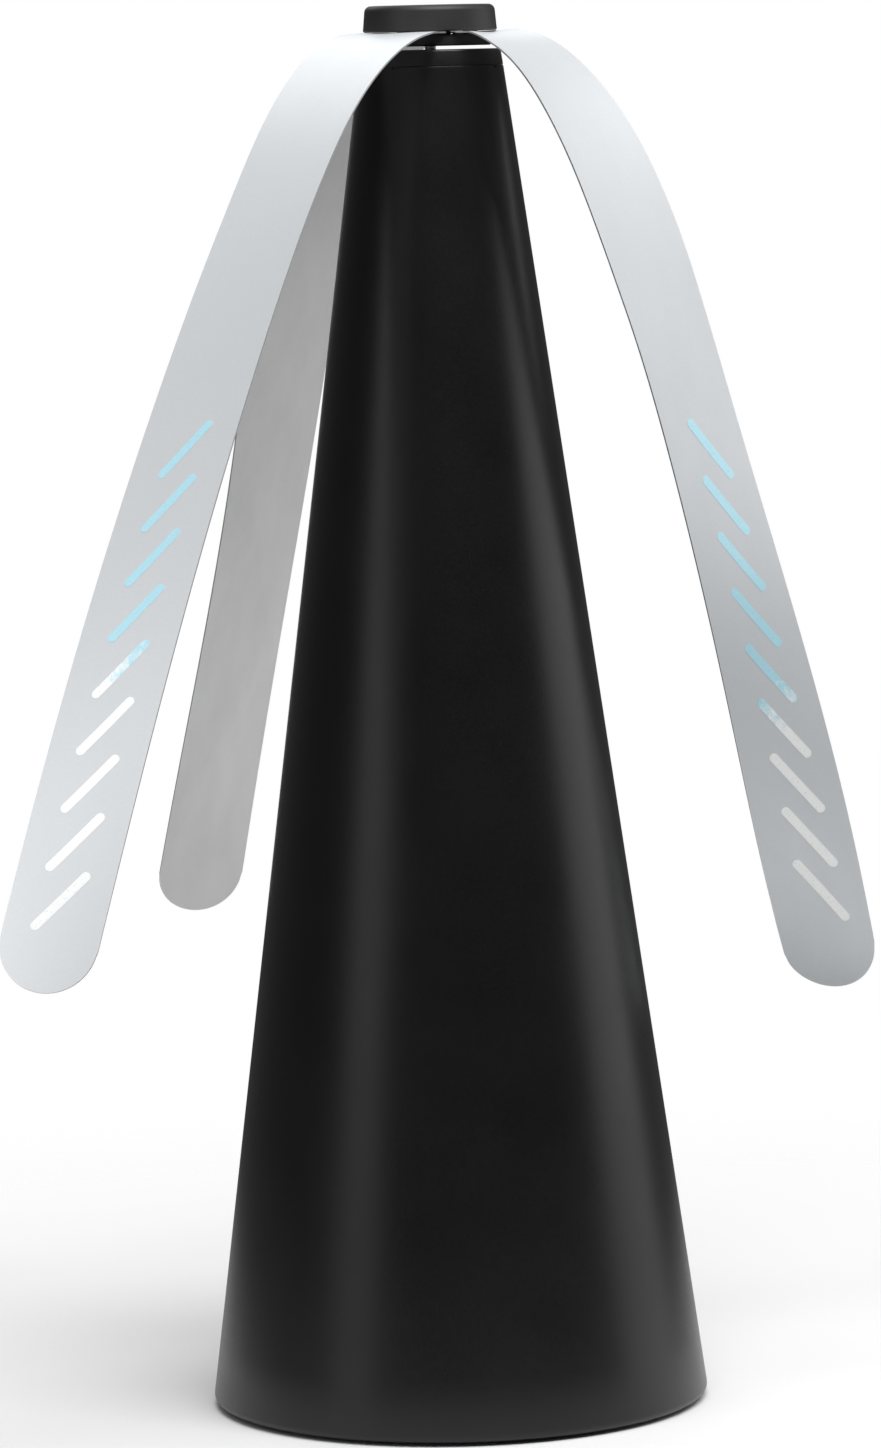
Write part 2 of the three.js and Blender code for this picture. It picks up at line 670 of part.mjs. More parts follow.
piece("motor_can", motorCan(), zincSteel);
piece("motor_end_bell", endBell(), darkPlastic);
piece("bush_upper", ring(bushRadius, bore, motorTop - canSheet, motorTop + canBossHeight), bronze);
piece("bush_lower", ring(bushRadius, bore, bellBottom + fit, motorBottom - fit), bronze);
piece("magnet_left", magnet(180), ferrite);
piece("magnet_right", magnet(0), ferrite);
piece("brush_terminal_left", brushTerminal(-1), copper);
piece("brush_terminal_right", brushTerminal(1), copper);
piece("motor_retainer", retainer(), darkPlastic);
for (const [name, side] of [["front", -1], ["rear", 1]]) {
  const y = side * (legY + legThickness / 2);
  const headZ = retainerTop - retainerThickness - fit - 1.4;
  piece(`retainer_screw_${name}`, screw(0, y, headZ, 1.8, 1.4, 0.85, 8.5), steel);
}

piece("motor_shaft", bar(shaftRadius, bellBottom + 0.6, capZ + 2.4), steel);
piece("armature_core", armatureCore(), steel);
[0, 120, 240].forEach((angle, i) => piece(`armature_winding_${i + 1}`, winding(angle), copper));
piece("commutator", ring(commutatorRadius, bore, motorBottom + 0.2, coreZ - 1.4), copper);
piece("thrust_washer", ring(2.6, bore, motorTop - canSheet - 1, motorTop - canSheet - fit), bronze);

piece("rotor_hub", rotorHub(), mattBlack);
piece("rotor_cap", rotorCap(), mattBlack);
for (const blade of blades) {
  piece(`${blade.name}_tab`, filmTab(blade), filmSilver);
  piece(`${blade.name}_inner`, filmInner(blade), filmSilver, flexLine(blade, rootFlex));
  piece(`${blade.name}_outer`, filmOuter(blade), filmSilver, flexLine(blade, midFlex));
}

piece("base_plate", basePlate(), darkPlastic);
piece("battery_door", batteryDoor(), darkPlastic);
baseScrewAngles.forEach((angle, i) => {
  const [x, y] = polar(baseScrewCircle, angle);
  piece(`base_screw_${i + 1}`, screw(x, y, plateZ + 1, 2.6, 1.3, 1.3, 12), steel);
});
[45, 135, 225, 315].forEach((angle, i) => {
  const [x, y] = polar(footCircle, angle);
  piece(`foot_${i + 1}`, bar(footRadius, 0, plateZ - fit, x, y), rubber);
});
piece("cell_front", cell(-cellPitch / 2, 1), cellSleeve);
piece("cell_rear", cell(cellPitch / 2, -1), cellSleeve);

const contactHalf = 5.4;
const frontY = -cellPitch / 2;
const rearY = cellPitch / 2;
piece("contact_positive", join(contactPlate(frontY, contactHalf), contactButton(frontY), solderTab(frontY)), steel);
piece("contact_negative", join(contactPlate(rearY, contactHalf), contactCoil(rearY), solderTab(rearY)), steel);
const bridge = join(contactPlate(0, cellPitch / 2 + contactHalf), contactButton(-rearY), contactCoil(-frontY));
piece("contact_bridge", bridge.rotate([0, 0, 180]), steel);

piece("switch_housing", switchHousing(), switchPlastic);
piece("switch_slider", switchSlider(), switchPlastic);
piece("switch_terminal_in", switchTerminal(switchTerminalX), copper);
piece("switch_terminal_out", switchTerminal(-switchTerminalX), copper);

// Wires, each from one solder tab to the next, along the inside of the cone.
const wireRadius = 0.7;
const tabX = contactPlateX + contactSheet / 2;
const motorTabZ = bellBottom - 5 - fit;
const feedEnd = solderTabTop + fit;
piece(
  "wire_positive",
  wire(wireRadius, [
    [tabX, frontY, feedEnd], [tabX, frontY, feedEnd + 6], [24, -7, 50], [18, -6, 90], [14, -4, 130],
    [10, -2, 170], [7, 0, 195], [terminalX, 0, motorTabZ - 5], [terminalX, 0, motorTabZ],
  ], 36),
  redSheath,
);
piece(
  "wire_switch",
  wire(wireRadius, [
    [tabX, rearY, feedEnd], [tabX, rearY, feedEnd + 5], [26, 0, 34], [20, -12, 34], [10, -22, 30],
    [switchTerminalX + 1, switchY, 24], [switchTerminalX, switchY, switchTerminalTop + 4],
    [switchTerminalX, switchY, switchTerminalTop + fit],
  ], 28),
  blackSheath,
);
piece(
  "wire_negative",
  wire(wireRadius, [
    [-switchTerminalX, switchY, switchTerminalTop + fit], [-switchTerminalX, switchY, switchTerminalTop + 5],
    [-6, -25, 40], [-12, -18, 80], [-12, -10, 120], [-9, -4, 165], [-7, 0, 195],
    [-terminalX, 0, motorTabZ - 5], [-terminalX, 0, motorTabZ],
  ], 36),
  blackSheath,
);

export default group;
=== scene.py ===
"""Looks of a table-top fly-repellent fan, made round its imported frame.

A matt black cone holds a small motor. The motor's shaft turns a cap, and three silver film blades hang from
the cap. Sizes in the classes are millimetres, and MM turns them into the frame's metres.
"""
import logging
import math
from dataclasses import dataclass, field
from enum import Enum
from typing import Callable, Sequence

import bmesh
import bpy
from mathutils import Matrix, Quaternion, Vector


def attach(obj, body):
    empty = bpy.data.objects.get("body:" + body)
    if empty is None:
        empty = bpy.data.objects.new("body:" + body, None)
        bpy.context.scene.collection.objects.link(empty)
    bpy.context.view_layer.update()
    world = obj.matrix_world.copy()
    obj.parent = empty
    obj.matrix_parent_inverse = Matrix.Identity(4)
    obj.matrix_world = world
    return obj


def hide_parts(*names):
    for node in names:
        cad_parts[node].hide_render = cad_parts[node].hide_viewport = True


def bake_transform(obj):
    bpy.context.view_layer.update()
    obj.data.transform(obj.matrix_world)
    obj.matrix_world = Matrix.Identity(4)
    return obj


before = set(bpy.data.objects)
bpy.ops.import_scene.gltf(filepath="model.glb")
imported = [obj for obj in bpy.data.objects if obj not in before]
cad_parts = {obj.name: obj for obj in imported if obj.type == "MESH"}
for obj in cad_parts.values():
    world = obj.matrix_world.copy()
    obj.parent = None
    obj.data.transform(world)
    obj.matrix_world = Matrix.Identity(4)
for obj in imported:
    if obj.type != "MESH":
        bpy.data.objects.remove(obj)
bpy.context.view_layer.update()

MM = 0.001
TINY = 1e-6  # metres: points nearer than this are one point
LOG = logging.getLogger("fly_fan")

Outline = Sequence[tuple[float, float]]
Colour = tuple[float, float, float]
Number = "Sock | float"


# ---------------------------------------------------------------- shader maths
class Sock:
    """A node's output that takes part in sums, each of which adds a Math node."""

    def __init__(self, graph: "Graph", socket: bpy.types.NodeSocket) -> None:
        """Wraps a socket of a graph."""
        self.graph = graph
        self.socket = socket

    def _sum(self, operation: str, first: Number, second: Number) -> "Sock":
        """Adds a Math node.

        Args:
            operation: The Math node's operation.
            first: Its first value or link.
            second: Its second value or link.

        Returns:
            The node's result.
        """
        return self.graph.add("Math", {"operation": operation}, {0: first, 1: second})

    def __add__(self, other: Number) -> "Sock":
        """self + other."""
        return self._sum("ADD", self, other)

    def __radd__(self, other: Number) -> "Sock":
        """other + self."""
        return self._sum("ADD", other, self)

    def __sub__(self, other: Number) -> "Sock":
        """self - other."""
        return self._sum("SUBTRACT", self, other)

    def __rsub__(self, other: Number) -> "Sock":
        """other - self."""
        return self._sum("SUBTRACT", other, self)

    def __mul__(self, other: Number) -> "Sock":
        """self * other."""
        return self._sum("MULTIPLY", self, other)

    def __rmul__(self, other: Number) -> "Sock":
        """other * self."""
        return self._sum("MULTIPLY", other, self)


class Graph:
    """A material and the nodes that lead to its one Principled shader."""

    def __init__(self, name: str) -> None:
        """Makes an empty material with its shader.

        Args:
            name: The material's name.
        """
        self.material = bpy.data.materials.new(name)
        self.material.use_nodes = True
        self.tree = self.material.node_tree
        self.tree.nodes.clear()
        self.shader = self.tree.nodes.new("ShaderNodeBsdfPrincipled")
        output = self.tree.nodes.new("ShaderNodeOutputMaterial")
        self.tree.links.new(self.shader.outputs[0], output.inputs[0])

    def feed(self, socket: bpy.types.NodeSocket, value: object) -> None:
        """Gives a socket a value or a link.

        Args:
            socket: The input socket.
            value: A number, a colour, a vector or a Sock.
        """
        if isinstance(value, Sock):
            self.tree.links.new(value.socket, socket)
        elif socket.type == "RGBA" and len(value) == 3:
            socket.default_value = (*value, 1.0)
        else:
            socket.default_value = value

    def add(
        self,
        kind: str,
        settings: dict[str, object] | None = None,
        inputs: dict[str | int, object] | None = None,
        output: str | int = 0,
    ) -> Sock:
        """Adds any node.

        Args:
            kind: The node's type without its ShaderNode prefix.
            settings: Its properties, set first.
            inputs: Values or links for its sockets.
            output: The output to hand back.

        Returns:
            That output.
        """
        node = self.tree.nodes.new("ShaderNode" + kind)
        for key, value in (settings or {}).items():
            setattr(node, key, value)
        for key, value in (inputs or {}).items():
            self.feed(node.inputs[key], value)
        return Sock(self, node.outputs[output])

    def own_space(self, scale: tuple[float, float, float] = (1, 1, 1)) -> Sock:
        """The piece's Object coordinates in millimetres, stretched by a scale."""
        place = self.add("TexCoord", output="Object")
        size = tuple(s / MM for s in scale)
        return self.add("Mapping", inputs={"Vector": place, "Scale": size})

    def film_space(self, scale: tuple[float, float, float] = (1, 1, 1)) -> Sock:
        """The film's own map in millimetres, across and along the blade, stretched by a scale."""
        place = self.add("UVMap", {"uv_map": FILM_MAP})
        return self.add("Mapping", inputs={"Vector": place, "Scale": scale})

    def noise(self, space: Sock, per_mm: float, detail: float = 2.0, rough: float = 0.5) -> Sock:
        """Noise from 0 to 1.

        Args:
            space: Coordinates in millimetres.
            per_mm: Grains in a millimetre.
            detail: Octaves of finer noise.
            rough: How strong the finer octaves are.

        Returns:
            The noise's value.
        """
        inputs = {"Vector": space, "Scale": per_mm, "Detail": detail, "Roughness": rough}
        return self.add("TexNoise", inputs=inputs)

    def span(self, value: Sock, low: float, high: float, start: float = 0.0, end: float = 1.0) -> Sock:
        """Value carried from low..high to start..end, and held there outside them."""
        return self.add("MapRange", inputs={0: value, 1: low, 2: high, 3: start, 4: end})

    def mix(self, factor: Number, first: object, second: object, blend: str = "MIX") -> Sock:
        """A colour between two colours.

        Args:
            factor: 0 for the first, 1 for the second.
            first: A colour or a link.
            second: A colour or a link.
            blend: The Mix node's blend type.

        Returns:
            The mixed colour.
        """
        settings = {"data_type": "RGBA", "blend_type": blend}
        return self.add("Mix", settings, {0: factor, 6: first, 7: second}, output=2)

    def bump(self, height: Sock, depth: float, strength: float = 1.0) -> Sock:
        """A Bump node's normal.

        Args:
            height: Heights from 0 to 1.
            depth: Millimetres that a height of 1 stands for.
            strength: The bump's strength.

        Returns:
            The normal for the shader.
        """
        return self.add("Bump", inputs={"Height": height, "Distance": depth * MM, "Strength": strength})

    def shade(self, **sockets: object) -> bpy.types.Material:
        """Feeds the shader's sockets, whose names have _ for a space.

        Args:
            **sockets: Values or links by socket name.

        Returns:
            The finished material.
        """
        for name, value in sockets.items():
            self.feed(self.shader.inputs[name.replace("_", " ")], value)
        return self.material


FILM_MAP = "film"


# ---------------------------------------------------------------- finishes
@dataclass(frozen=True)
class Finish:
    """A named surface finish. Each kind below builds its own nodes."""

    name: str
    slot: str

    def nodes(self, graph: Graph) -> None:
        """Builds the finish's nodes.

        Args:
            graph: A new graph.
        """
        raise NotImplementedError

    def material(self) -> bpy.types.Material:
        """The finish's material, built the first time that it is asked for.

        Returns:
            The material.
        """
        title = f"{self.name}_finish"
        if title not in bpy.data.materials:
            self.nodes(Graph(title))
        return bpy.data.materials[title]


@dataclass(frozen=True)
class SparkedPlastic(Finish):
    """Moulded plastic from a spark-eroded tool: fine even pits, slightly uneven gloss."""

    colour: Colour = (0.02, 0.02, 0.02)
    roughness: float = 0.55
    grain: float = 0.4
    depth: float = 0.02
    specular: float = 0.5

    def nodes(self, graph: Graph) -> None:
        """Pits from two sizes of noise, with dust-fine colour changes.

        Args:
            graph: A new graph.
        """
        space = graph.own_space()
        pits = graph.noise(space, 1 / self.grain, 3, 0.6)
        cloud = graph.noise(space, 0.06, 2, 0.5)
        specks = graph.span(graph.noise(space, 1.4 / self.grain, 1), 0.62, 0.78)
        light = tuple(min(1.0, c * 1.5 + 0.004) for c in self.colour)
        dark = tuple(c * 0.8 for c in self.colour)
        body = graph.mix(graph.span(cloud, 0.3, 0.7), dark, self.colour)
        graph.shade(
            Base_Color=graph.mix(specks * 0.5, body, light),
            Roughness=graph.span(pits + cloud * 0.5, 0.4, 1.1, self.roughness - 0.06, self.roughness + 0.06),
            Specular_IOR_Level=self.specular,
            Normal=graph.bump(pits, self.depth),
        )


@dataclass(frozen=True)
class FilmFace(Finish):
    """One face of the silver film: fine lengthwise rolling lines and a soft mottle."""

    colour: Colour = (0.75, 0.77, 0.79)
    shade_colour: Colour = (0.68, 0.7, 0.73)
    roughness: float = 0.42
    metallic: float = 0.3
    mottle: float = 0.3

    def nodes(self, graph: Graph) -> None:
        """Rolling lines and grain follow the film's own map.

        Args:
            graph: A new graph.
        """
        lines = graph.noise(graph.film_space((9, 0.35, 1)), 1.0, 3, 0.6)
        grain = graph.noise(graph.film_space((1.6, 1.6, 1)), 1.0, 2, 0.5)
        cloud = graph.noise(graph.film_space((0.16, 0.05, 1)), 1.0, 3, 0.6)
        blotch = graph.span(cloud * 0.8 + grain * 0.2, 0.35, 0.65)
        tone = graph.mix(blotch * self.mottle, self.colour, self.shade_colour)
        fleck = graph.span(grain, 0.25, 0.75, 0.98, 1.02)
        grey = graph.add("CombineXYZ", inputs={0: fleck, 1: fleck, 2: fleck})
        graph.shade(
            Base_Color=graph.mix(1.0, tone, grey, "MULTIPLY"),
            Metallic=self.metallic,
            Roughness=graph.span(lines + cloud * 0.6, 0.5, 1.1, self.roughness - 0.05, self.roughness + 0.07),
            Normal=graph.bump(lines, 0.0003, 0.5),
        )


@dataclass(frozen=True)
class PrismFoil(Finish):
    """Hot-stamped foil whose tint drifts from light blue to near white along the blade."""

    blue: Colour = (0.53, 0.8, 0.9)
    deep: Colour = (0.3, 0.72, 0.88)
    white: Colour = (0.96, 0.97, 0.97)
    turns_at: float = 143.0
    wander: float = 26.0
    softness: float = 4.0

    def nodes(self, graph: Graph) -> None:
        """The tint follows the length from the clamp, broken up by a pearly mottle.

        Args:
            graph: A new graph.
        """
        place = graph.add("SeparateXYZ", inputs={0: graph.film_space()}, output=1)
        wisp = graph.noise(graph.film_space((0.8, 0.5, 1)), 1.0, 4, 0.65)
        pearl = graph.noise(graph.film_space((2.2, 2.2, 1)), 1.0, 3, 0.6)
        tint = graph.mix(graph.span(pearl, 0.42, 0.62) * 0.55, self.blue, self.deep)
        begin, end = self.turns_at - self.softness, self.turns_at + self.softness
        fade = graph.span(place + (wisp - 0.5) * self.wander, begin, end)
        graph.shade(
            Base_Color=graph.mix(fade, tint, self.white),
            Roughness=graph.span(pearl, 0.3, 0.7, 0.24, 0.4),
            Metallic=0.15,
            Coat_Weight=0.25,
            Normal=graph.bump(pearl, 0.004, 0.4),
        )


@dataclass(frozen=True)
class BareMetal(Finish):
    """Drawn or turned metal: lines along one direction, and a slight tarnish."""

    colour: Colour = (0.6, 0.6, 0.61)
    roughness: float = 0.3
    lines: tuple[float, float, float] = (0.6, 0.6, 9.0)
    tarnish: Colour = (0.4, 0.39, 0.37)
    amount: float = 0.3

    def nodes(self, graph: Graph) -> None:
        """Fine lines for the gloss, broad noise for the tarnish.

        Args:
            graph: A new graph.
        """
        lines = graph.noise(graph.own_space(self.lines), 1.0, 3, 0.6)
        cloud = graph.noise(graph.own_space(), 0.35, 3, 0.6)
        graph.shade(
            Base_Color=graph.mix(graph.span(cloud, 0.4, 0.75) * self.amount, self.colour, self.tarnish),
            Metallic=1.0,
            Roughness=graph.span(lines, 0.25, 0.75, self.roughness - 0.08, self.roughness + 0.12),
            Normal=graph.bump(lines, 0.006),
        )


@dataclass(frozen=True)
class WoundCopper(Finish):
    """Enamelled copper wire in close turns, with painted shade in the grooves between the turns."""

    pitch: float = 0.34
    enamel: Colour = (0.55, 0.2, 0.07)
    dark_enamel: Colour = (0.42, 0.12, 0.05)
    # painted shade: the colour that the grooves between turns are darkened to
    groove: Colour = (0.08, 0.02, 0.01)

    def nodes(self, graph: Graph) -> None:
        """Turns run across the coil, so the wave climbs the shaft's direction.

        Args:
            graph: A new graph.
        """
        space = graph.own_space()
        waves = graph.add(
            "TexWave",
            {"wave_type": "BANDS", "bands_direction": "Z", "wave_profile": "SIN"},
            {"Vector": space, "Scale": 0.314 / self.pitch, "Distortion": 0.6, "Detail": 1.0},
            output=1,
        )
        cloud = graph.noise(space, 0.8, 2)
        copper = graph.mix(graph.span(cloud, 0.3, 0.7), self.enamel, self.dark_enamel)
        graph.shade(
            # The troughs of the wave get the painted groove shade.
            Base_Color=graph.mix(graph.span(waves, 0.0, 0.35), self.groove, copper),
            Metallic=0.9,
            Roughness=graph.span(waves, 0.0, 1.0, 0.5, 0.28),
            Coat_Weight=0.6,
            Normal=graph.bump(waves, 0.08),
        )


@dataclass(frozen=True)
class SinteredFerrite(Finish):
    """Dark grey sintered magnet with pale specks."""

    grey: Colour = (0.035, 0.035, 0.038)
    speck: Colour = (0.13, 0.13, 0.14)

    def nodes(self, graph: Graph) -> None:
        """Specks and pits from Voronoi cells and noise.

        Args:
            graph: A new graph.
        """
        space = graph.own_space()
        cells = graph.add("TexVoronoi", inputs={"Vector": space, "Scale": 3.0})
        cloud = graph.noise(space, 1.2, 4, 0.6)
        graph.shade(
            Base_Color=graph.mix(graph.span(cells, 0.0, 0.18, 0.6, 0.0), self.grey, self.speck),
            Roughness=graph.span(cloud, 0.3, 0.7, 0.55, 0.8),
            Normal=graph.bump(cloud, 0.05),
        )


@dataclass(frozen=True)
class CellSleeve(Finish):
    """A battery's shrink sleeve: plain grey with a darker band at one end."""

    flip: bool = False
    band_start: float = 13.6
    band_end: float = 14.0
    sleeve: Colour = (0.03, 0.035, 0.045)
    band: Colour = (0.55, 0.36, 0.14)
    scuffed: Colour = (0.4, 0.4, 0.42)

    def nodes(self, graph: Graph) -> None:
        """The band's edge is a step along the cell's axis.

        Args:
            graph: A new graph.
        """
        space = graph.own_space()
        length = graph.add("SeparateXYZ", inputs={0: space}, output=0)
        band = graph.span(length * (-1.0 if self.flip else 1.0), self.band_start, self.band_end)
        cloud = graph.noise(space, 0.5, 2)
        scuffs = graph.noise(graph.own_space((0.4, 3, 3)), 1.0, 4, 0.7)
        tone = graph.mix(band, self.sleeve, self.band)
        graph.shade(
            Base_Color=graph.mix(graph.span(scuffs, 0.6, 0.8) * 0.2, tone, self.scuffed),
            Metallic=0.35,
            Roughness=graph.span(cloud, 0.3, 0.7, 0.24, 0.36),
            Coat_Weight=0.4,
            Normal=graph.bump(scuffs, 0.01),
        )


@dataclass(frozen=True)
class MouldedRubber(Finish):
    """Soft black rubber with a dusty bloom."""

    black: Colour = (0.012, 0.012, 0.012)
    dust: Colour = (0.05, 0.05, 0.048)

    def nodes(self, graph: Graph) -> None:
        """Bloom from broad noise, bump from fine noise.

        Args:
            graph: A new graph.
        """
        space = graph.own_space()
        bloom = graph.noise(space, 0.4, 4, 0.65)
        fine = graph.noise(space, 4.0, 3, 0.6)
        graph.shade(
            Base_Color=graph.mix(graph.span(bloom, 0.45, 0.75) * 0.5, self.black, self.dust),
            Roughness=graph.span(bloom, 0.3, 0.7, 0.8, 0.95),
            Specular_IOR_Level=0.35,
            Normal=graph.bump(fine, 0.03),
        )


@dataclass(frozen=True)
class WireSheath(Finish):
    """Soft extruded sheath round a wire."""

    colour: Colour = (0.4, 0.02, 0.015)

    def nodes(self, graph: Graph) -> None:
        """Faint extrusion lines run along the wire.

        Args:
            graph: A new graph.
        """
        lines = graph.noise(graph.own_space((3, 3, 0.4)), 1.0, 3)
        dark = tuple(c * 0.6 for c in self.colour)
        graph.shade(
            Base_Color=graph.mix(graph.span(lines, 0.3, 0.7), dark, self.colour),
            Roughness=graph.span(lines, 0.3, 0.7, 0.38, 0.55),
            Normal=graph.bump(lines, 0.02),
        )


MATT_BLACK = SparkedPlastic("matt_black", "matt_black", (0.0028, 0.0028, 0.0028), 0.33, 0.42, 0.008, 0.42)
CAP_BLACK = SparkedPlastic("cap_black", "matt_black", (0.012, 0.012, 0.012), 0.5, 0.36, 0.015, 0.5)
BASE_PLASTIC = SparkedPlastic("base_plastic", "base_plastic", (0.018, 0.018, 0.018), 0.5, 0.5, 0.03)
MOTOR_PLASTIC = SparkedPlastic("motor_plastic", "motor_plastic", (0.03, 0.03, 0.03), 0.45, 0.6, 0.02)
SWITCH_PLASTIC = SparkedPlastic("switch_plastic", "switch_plastic", (0.045, 0.045, 0.047), 0.4, 0.5, 0.015)
FILM_OUTER = FilmFace("film_outer", "film", (0.665, 0.69, 0.71), (0.63, 0.65, 0.675))
# The inner face is paler than the outer face as painted light: it brightens the inner faces, which sit in
# shade.
FILM_INNER_PAINTED_LIGHT = FilmFace("film_inner_painted_light", "film", (0.9, 0.91, 0.9), (0.8, 0.81, 0.8), 0.5, 0.25, 0.6)
FILM_EDGE = FilmFace("film_edge", "film", (0.34, 0.35, 0.36), (0.25, 0.25, 0.26), 0.5, 0.5)
FOIL = PrismFoil("prism_foil", "film")
BRIGHT_STEEL = BareMetal("bright_steel", "bright_steel", (0.62, 0.62, 0.62), 0.26)
ZINC_STEEL = BareMetal(
    "zinc_steel", "zinc_steel", (0.55, 0.56, 0.58), 0.38, (1.2, 1.2, 1.2), (0.42, 0.43, 0.45), 0.5
)
BRONZE = BareMetal("sintered_bronze", "bronze", (0.42, 0.27, 0.11), 0.48, (3, 3, 3), (0.2, 0.13, 0.06), 0.5)
COPPER = BareMetal("copper_strip", "copper", (0.72, 0.32, 0.14), 0.3, (4, 1, 1), (0.35, 0.14, 0.07), 0.4)
WINDING = WoundCopper("wound_copper", "copper")
FERRITE = SinteredFerrite("sintered_ferrite", "ferrite")
SLEEVE_FRONT = CellSleeve("cell_sleeve_front", "cell_sleeve")
SLEEVE_REAR = CellSleeve("cell_sleeve_rear", "cell_sleeve", True)
RUBBER = MouldedRubber("foot_rubber", "rubber")
RED_SHEATH = WireSheath("red_sheath", "red_sheath")
BLACK_SHEATH = WireSheath("black_sheath", "black_sheath", (0.02, 0.02, 0.02))


# ---------------------------------------------------------------- bench work
class Blank:
    """A mesh while it is shaped, in metres in the row frame."""

    def __init__(self) -> None:
        """Starts with nothing."""
        self.mesh = bmesh.new()

    def turn(self, outline: Outline, steps: int) -> "Blank":
        """Spins an outline of (radius, height) millimetres round +Z.

        Args:
            outline: The half section, in order. It is closed where its ends meet or both lie on the axis.
            steps: Facets round the axis.

        Returns:
            This blank.
        """
        points = [self.mesh.verts.new((radius * MM, 0, height * MM)) for radius, height in outline]
        edges = [self.mesh.edges.new(pair) for pair in zip(points, points[1:])]
        bmesh.ops.spin(
            self.mesh, geom=points + edges, cent=(0, 0, 0), axis=(0, 0, 1), dvec=(0, 0, 0),
            angle=2 * math.pi, steps=steps, use_merge=True, use_duplicate=False,
        )
        return self.tidy()

    def block(self, low: tuple[float, float, float], high: tuple[float, float, float]) -> "Blank":
        """Adds a box.

        Args:
            low: Its lowest corner in millimetres.
            high: Its highest corner.

        Returns:
            This blank.
        """
        size = [(b - a) * MM for a, b in zip(low, high)]
        middle = [(a + b) / 2 * MM for a, b in zip(low, high)]
        matrix = Matrix.Translation(middle) @ Matrix.Diagonal((*size, 1))
        bmesh.ops.create_cube(self.mesh, size=1, matrix=matrix)
        return self

    def rod(
        self, radius: float, bottom: float, top: float, x: float = 0, y: float = 0, sides: int = 48
    ) -> "Blank":
        """Adds an upright round bar.

        Args:
            radius: Its radius in millimetres.
            bottom: Its lower height.
            top: Its upper height.
            x: Its axis's place.
            y: Its axis's place.
            sides: Facets round it.

        Returns:
            This blank.
        """
        matrix = Matrix.Translation((x * MM, y * MM, (bottom + top) / 2 * MM))
        bmesh.ops.create_cone(
            self.mesh, cap_ends=True, segments=sides, radius1=radius * MM, radius2=radius * MM,
            depth=(top - bottom) * MM, matrix=matrix,
        )
        return self

    def tidy(self) -> "Blank":
        """Merges doubles, drops what has no area and points the faces outwards.

        Returns:
            This blank.
        """
        bmesh.ops.remove_doubles(self.mesh, verts=self.mesh.verts, dist=TINY)
        bmesh.ops.dissolve_degenerate(self.mesh, edges=self.mesh.edges, dist=TINY)
        bmesh.ops.recalc_face_normals(self.mesh, faces=self.mesh.faces)
        return self

    def place(self, matrix: Matrix) -> "Blank":
        """Moves every point by a matrix."""
        bmesh.ops.transform(self.mesh, matrix=matrix, verts=self.mesh.verts)
        return self

    def turned_by(self, angle: float) -> "Blank":
        """Turns the blank round +Z by degrees."""
        return self.place(Matrix.Rotation(math.radians(angle), 4, "Z"))

    def ease(self, width: float, segments: int = 3, least: float = 40.0) -> "Blank":
        """Rounds the sharp edges.

        Args:
            width: The rounding in millimetres.
            segments: Facets across it.
            least: The least angle in degrees that counts as sharp.

        Returns:
            This blank.
        """
        bend = math.radians(least)
        sharp = [e for e in self.mesh.edges if e.is_manifold and e.calc_face_angle(0) > bend]
        bmesh.ops.bevel(
            self.mesh, geom=sharp, offset=width * MM, offset_type="OFFSET", affect="EDGES",
            segments=segments, profile=0.5, material=-1, clamp_overlap=True,
        )
        return self

    def _loose(self) -> bpy.types.Object:
        """The blank as a plain object in the scene.

        Returns:
            The object.
        """
        data = bpy.data.meshes.new("loose")
        self.mesh.to_mesh(data)
        loose = bpy.data.objects.new("loose", data)
        bpy.context.scene.collection.objects.link(loose)
        return loose

    def _combined(self, tool: "Blank", operation: str) -> "Blank":
        """Runs a boolean with another blank, which is used up.

        Args:
            tool: The other blank.
            operation: UNION or DIFFERENCE.

        Returns:
            This blank.
        """
        body, other = self._loose(), tool._loose()
        modifier = body.modifiers.new("combine", "BOOLEAN")
        modifier.operation, modifier.solver, modifier.object = operation, "EXACT", other
        result = applied(body)
        self.mesh.clear()
        self.mesh.from_mesh(result)
        for spent in (body, other):
            data = spent.data
            bpy.data.objects.remove(spent)
            bpy.data.meshes.remove(data)
        tool.mesh.free()
        bmesh.ops.remove_doubles(self.mesh, verts=self.mesh.verts, dist=TINY)
        return self

    def join(self, *tools: "Blank") -> "Blank":
        """Joins other blanks on.

        Args:
            *tools: The other blanks, which are used up.

        Returns:
            This blank.
        """
        for tool in tools:
            self._combined(tool, "UNION")
        return self

    def cut(self, *tools: "Blank") -> "Blank":
        """Cuts other blanks away.

        Args:
            *tools: The other blanks, which are used up.

        Returns:
            This blank.
        """
        for tool in tools:
            self._combined(tool, "DIFFERENCE")
        return self

    def piece(self, name: str, *finishes: Finish, smooth: float = 32.0) -> bpy.types.Object:
        """Makes the finished object at the origin.

        Args:
            name: The piece's name.
            finishes: Its finishes, in the order of its faces' material numbers.
            smooth: The least angle in degrees that shows as an edge.

        Returns:
            The object.
        """
        data = bpy.data.meshes.new(name)
        self.mesh.to_mesh(data)
        self.mesh.free()
        for finish in finishes:
            data.materials.append(finish.material())
        made = bpy.data.objects.new(name, data)
        bpy.context.scene.collection.objects.link(made)
        data.shade_smooth()
        data.set_sharp_from_angle(angle=math.radians(smooth))
        return made


def applied(piece: bpy.types.Object) -> bpy.types.Mesh:
    """A new mesh of a piece with its modifiers applied."""
    graph = bpy.context.evaluated_depsgraph_get()
    return bpy.data.meshes.new_from_object(piece.evaluated_get(graph))


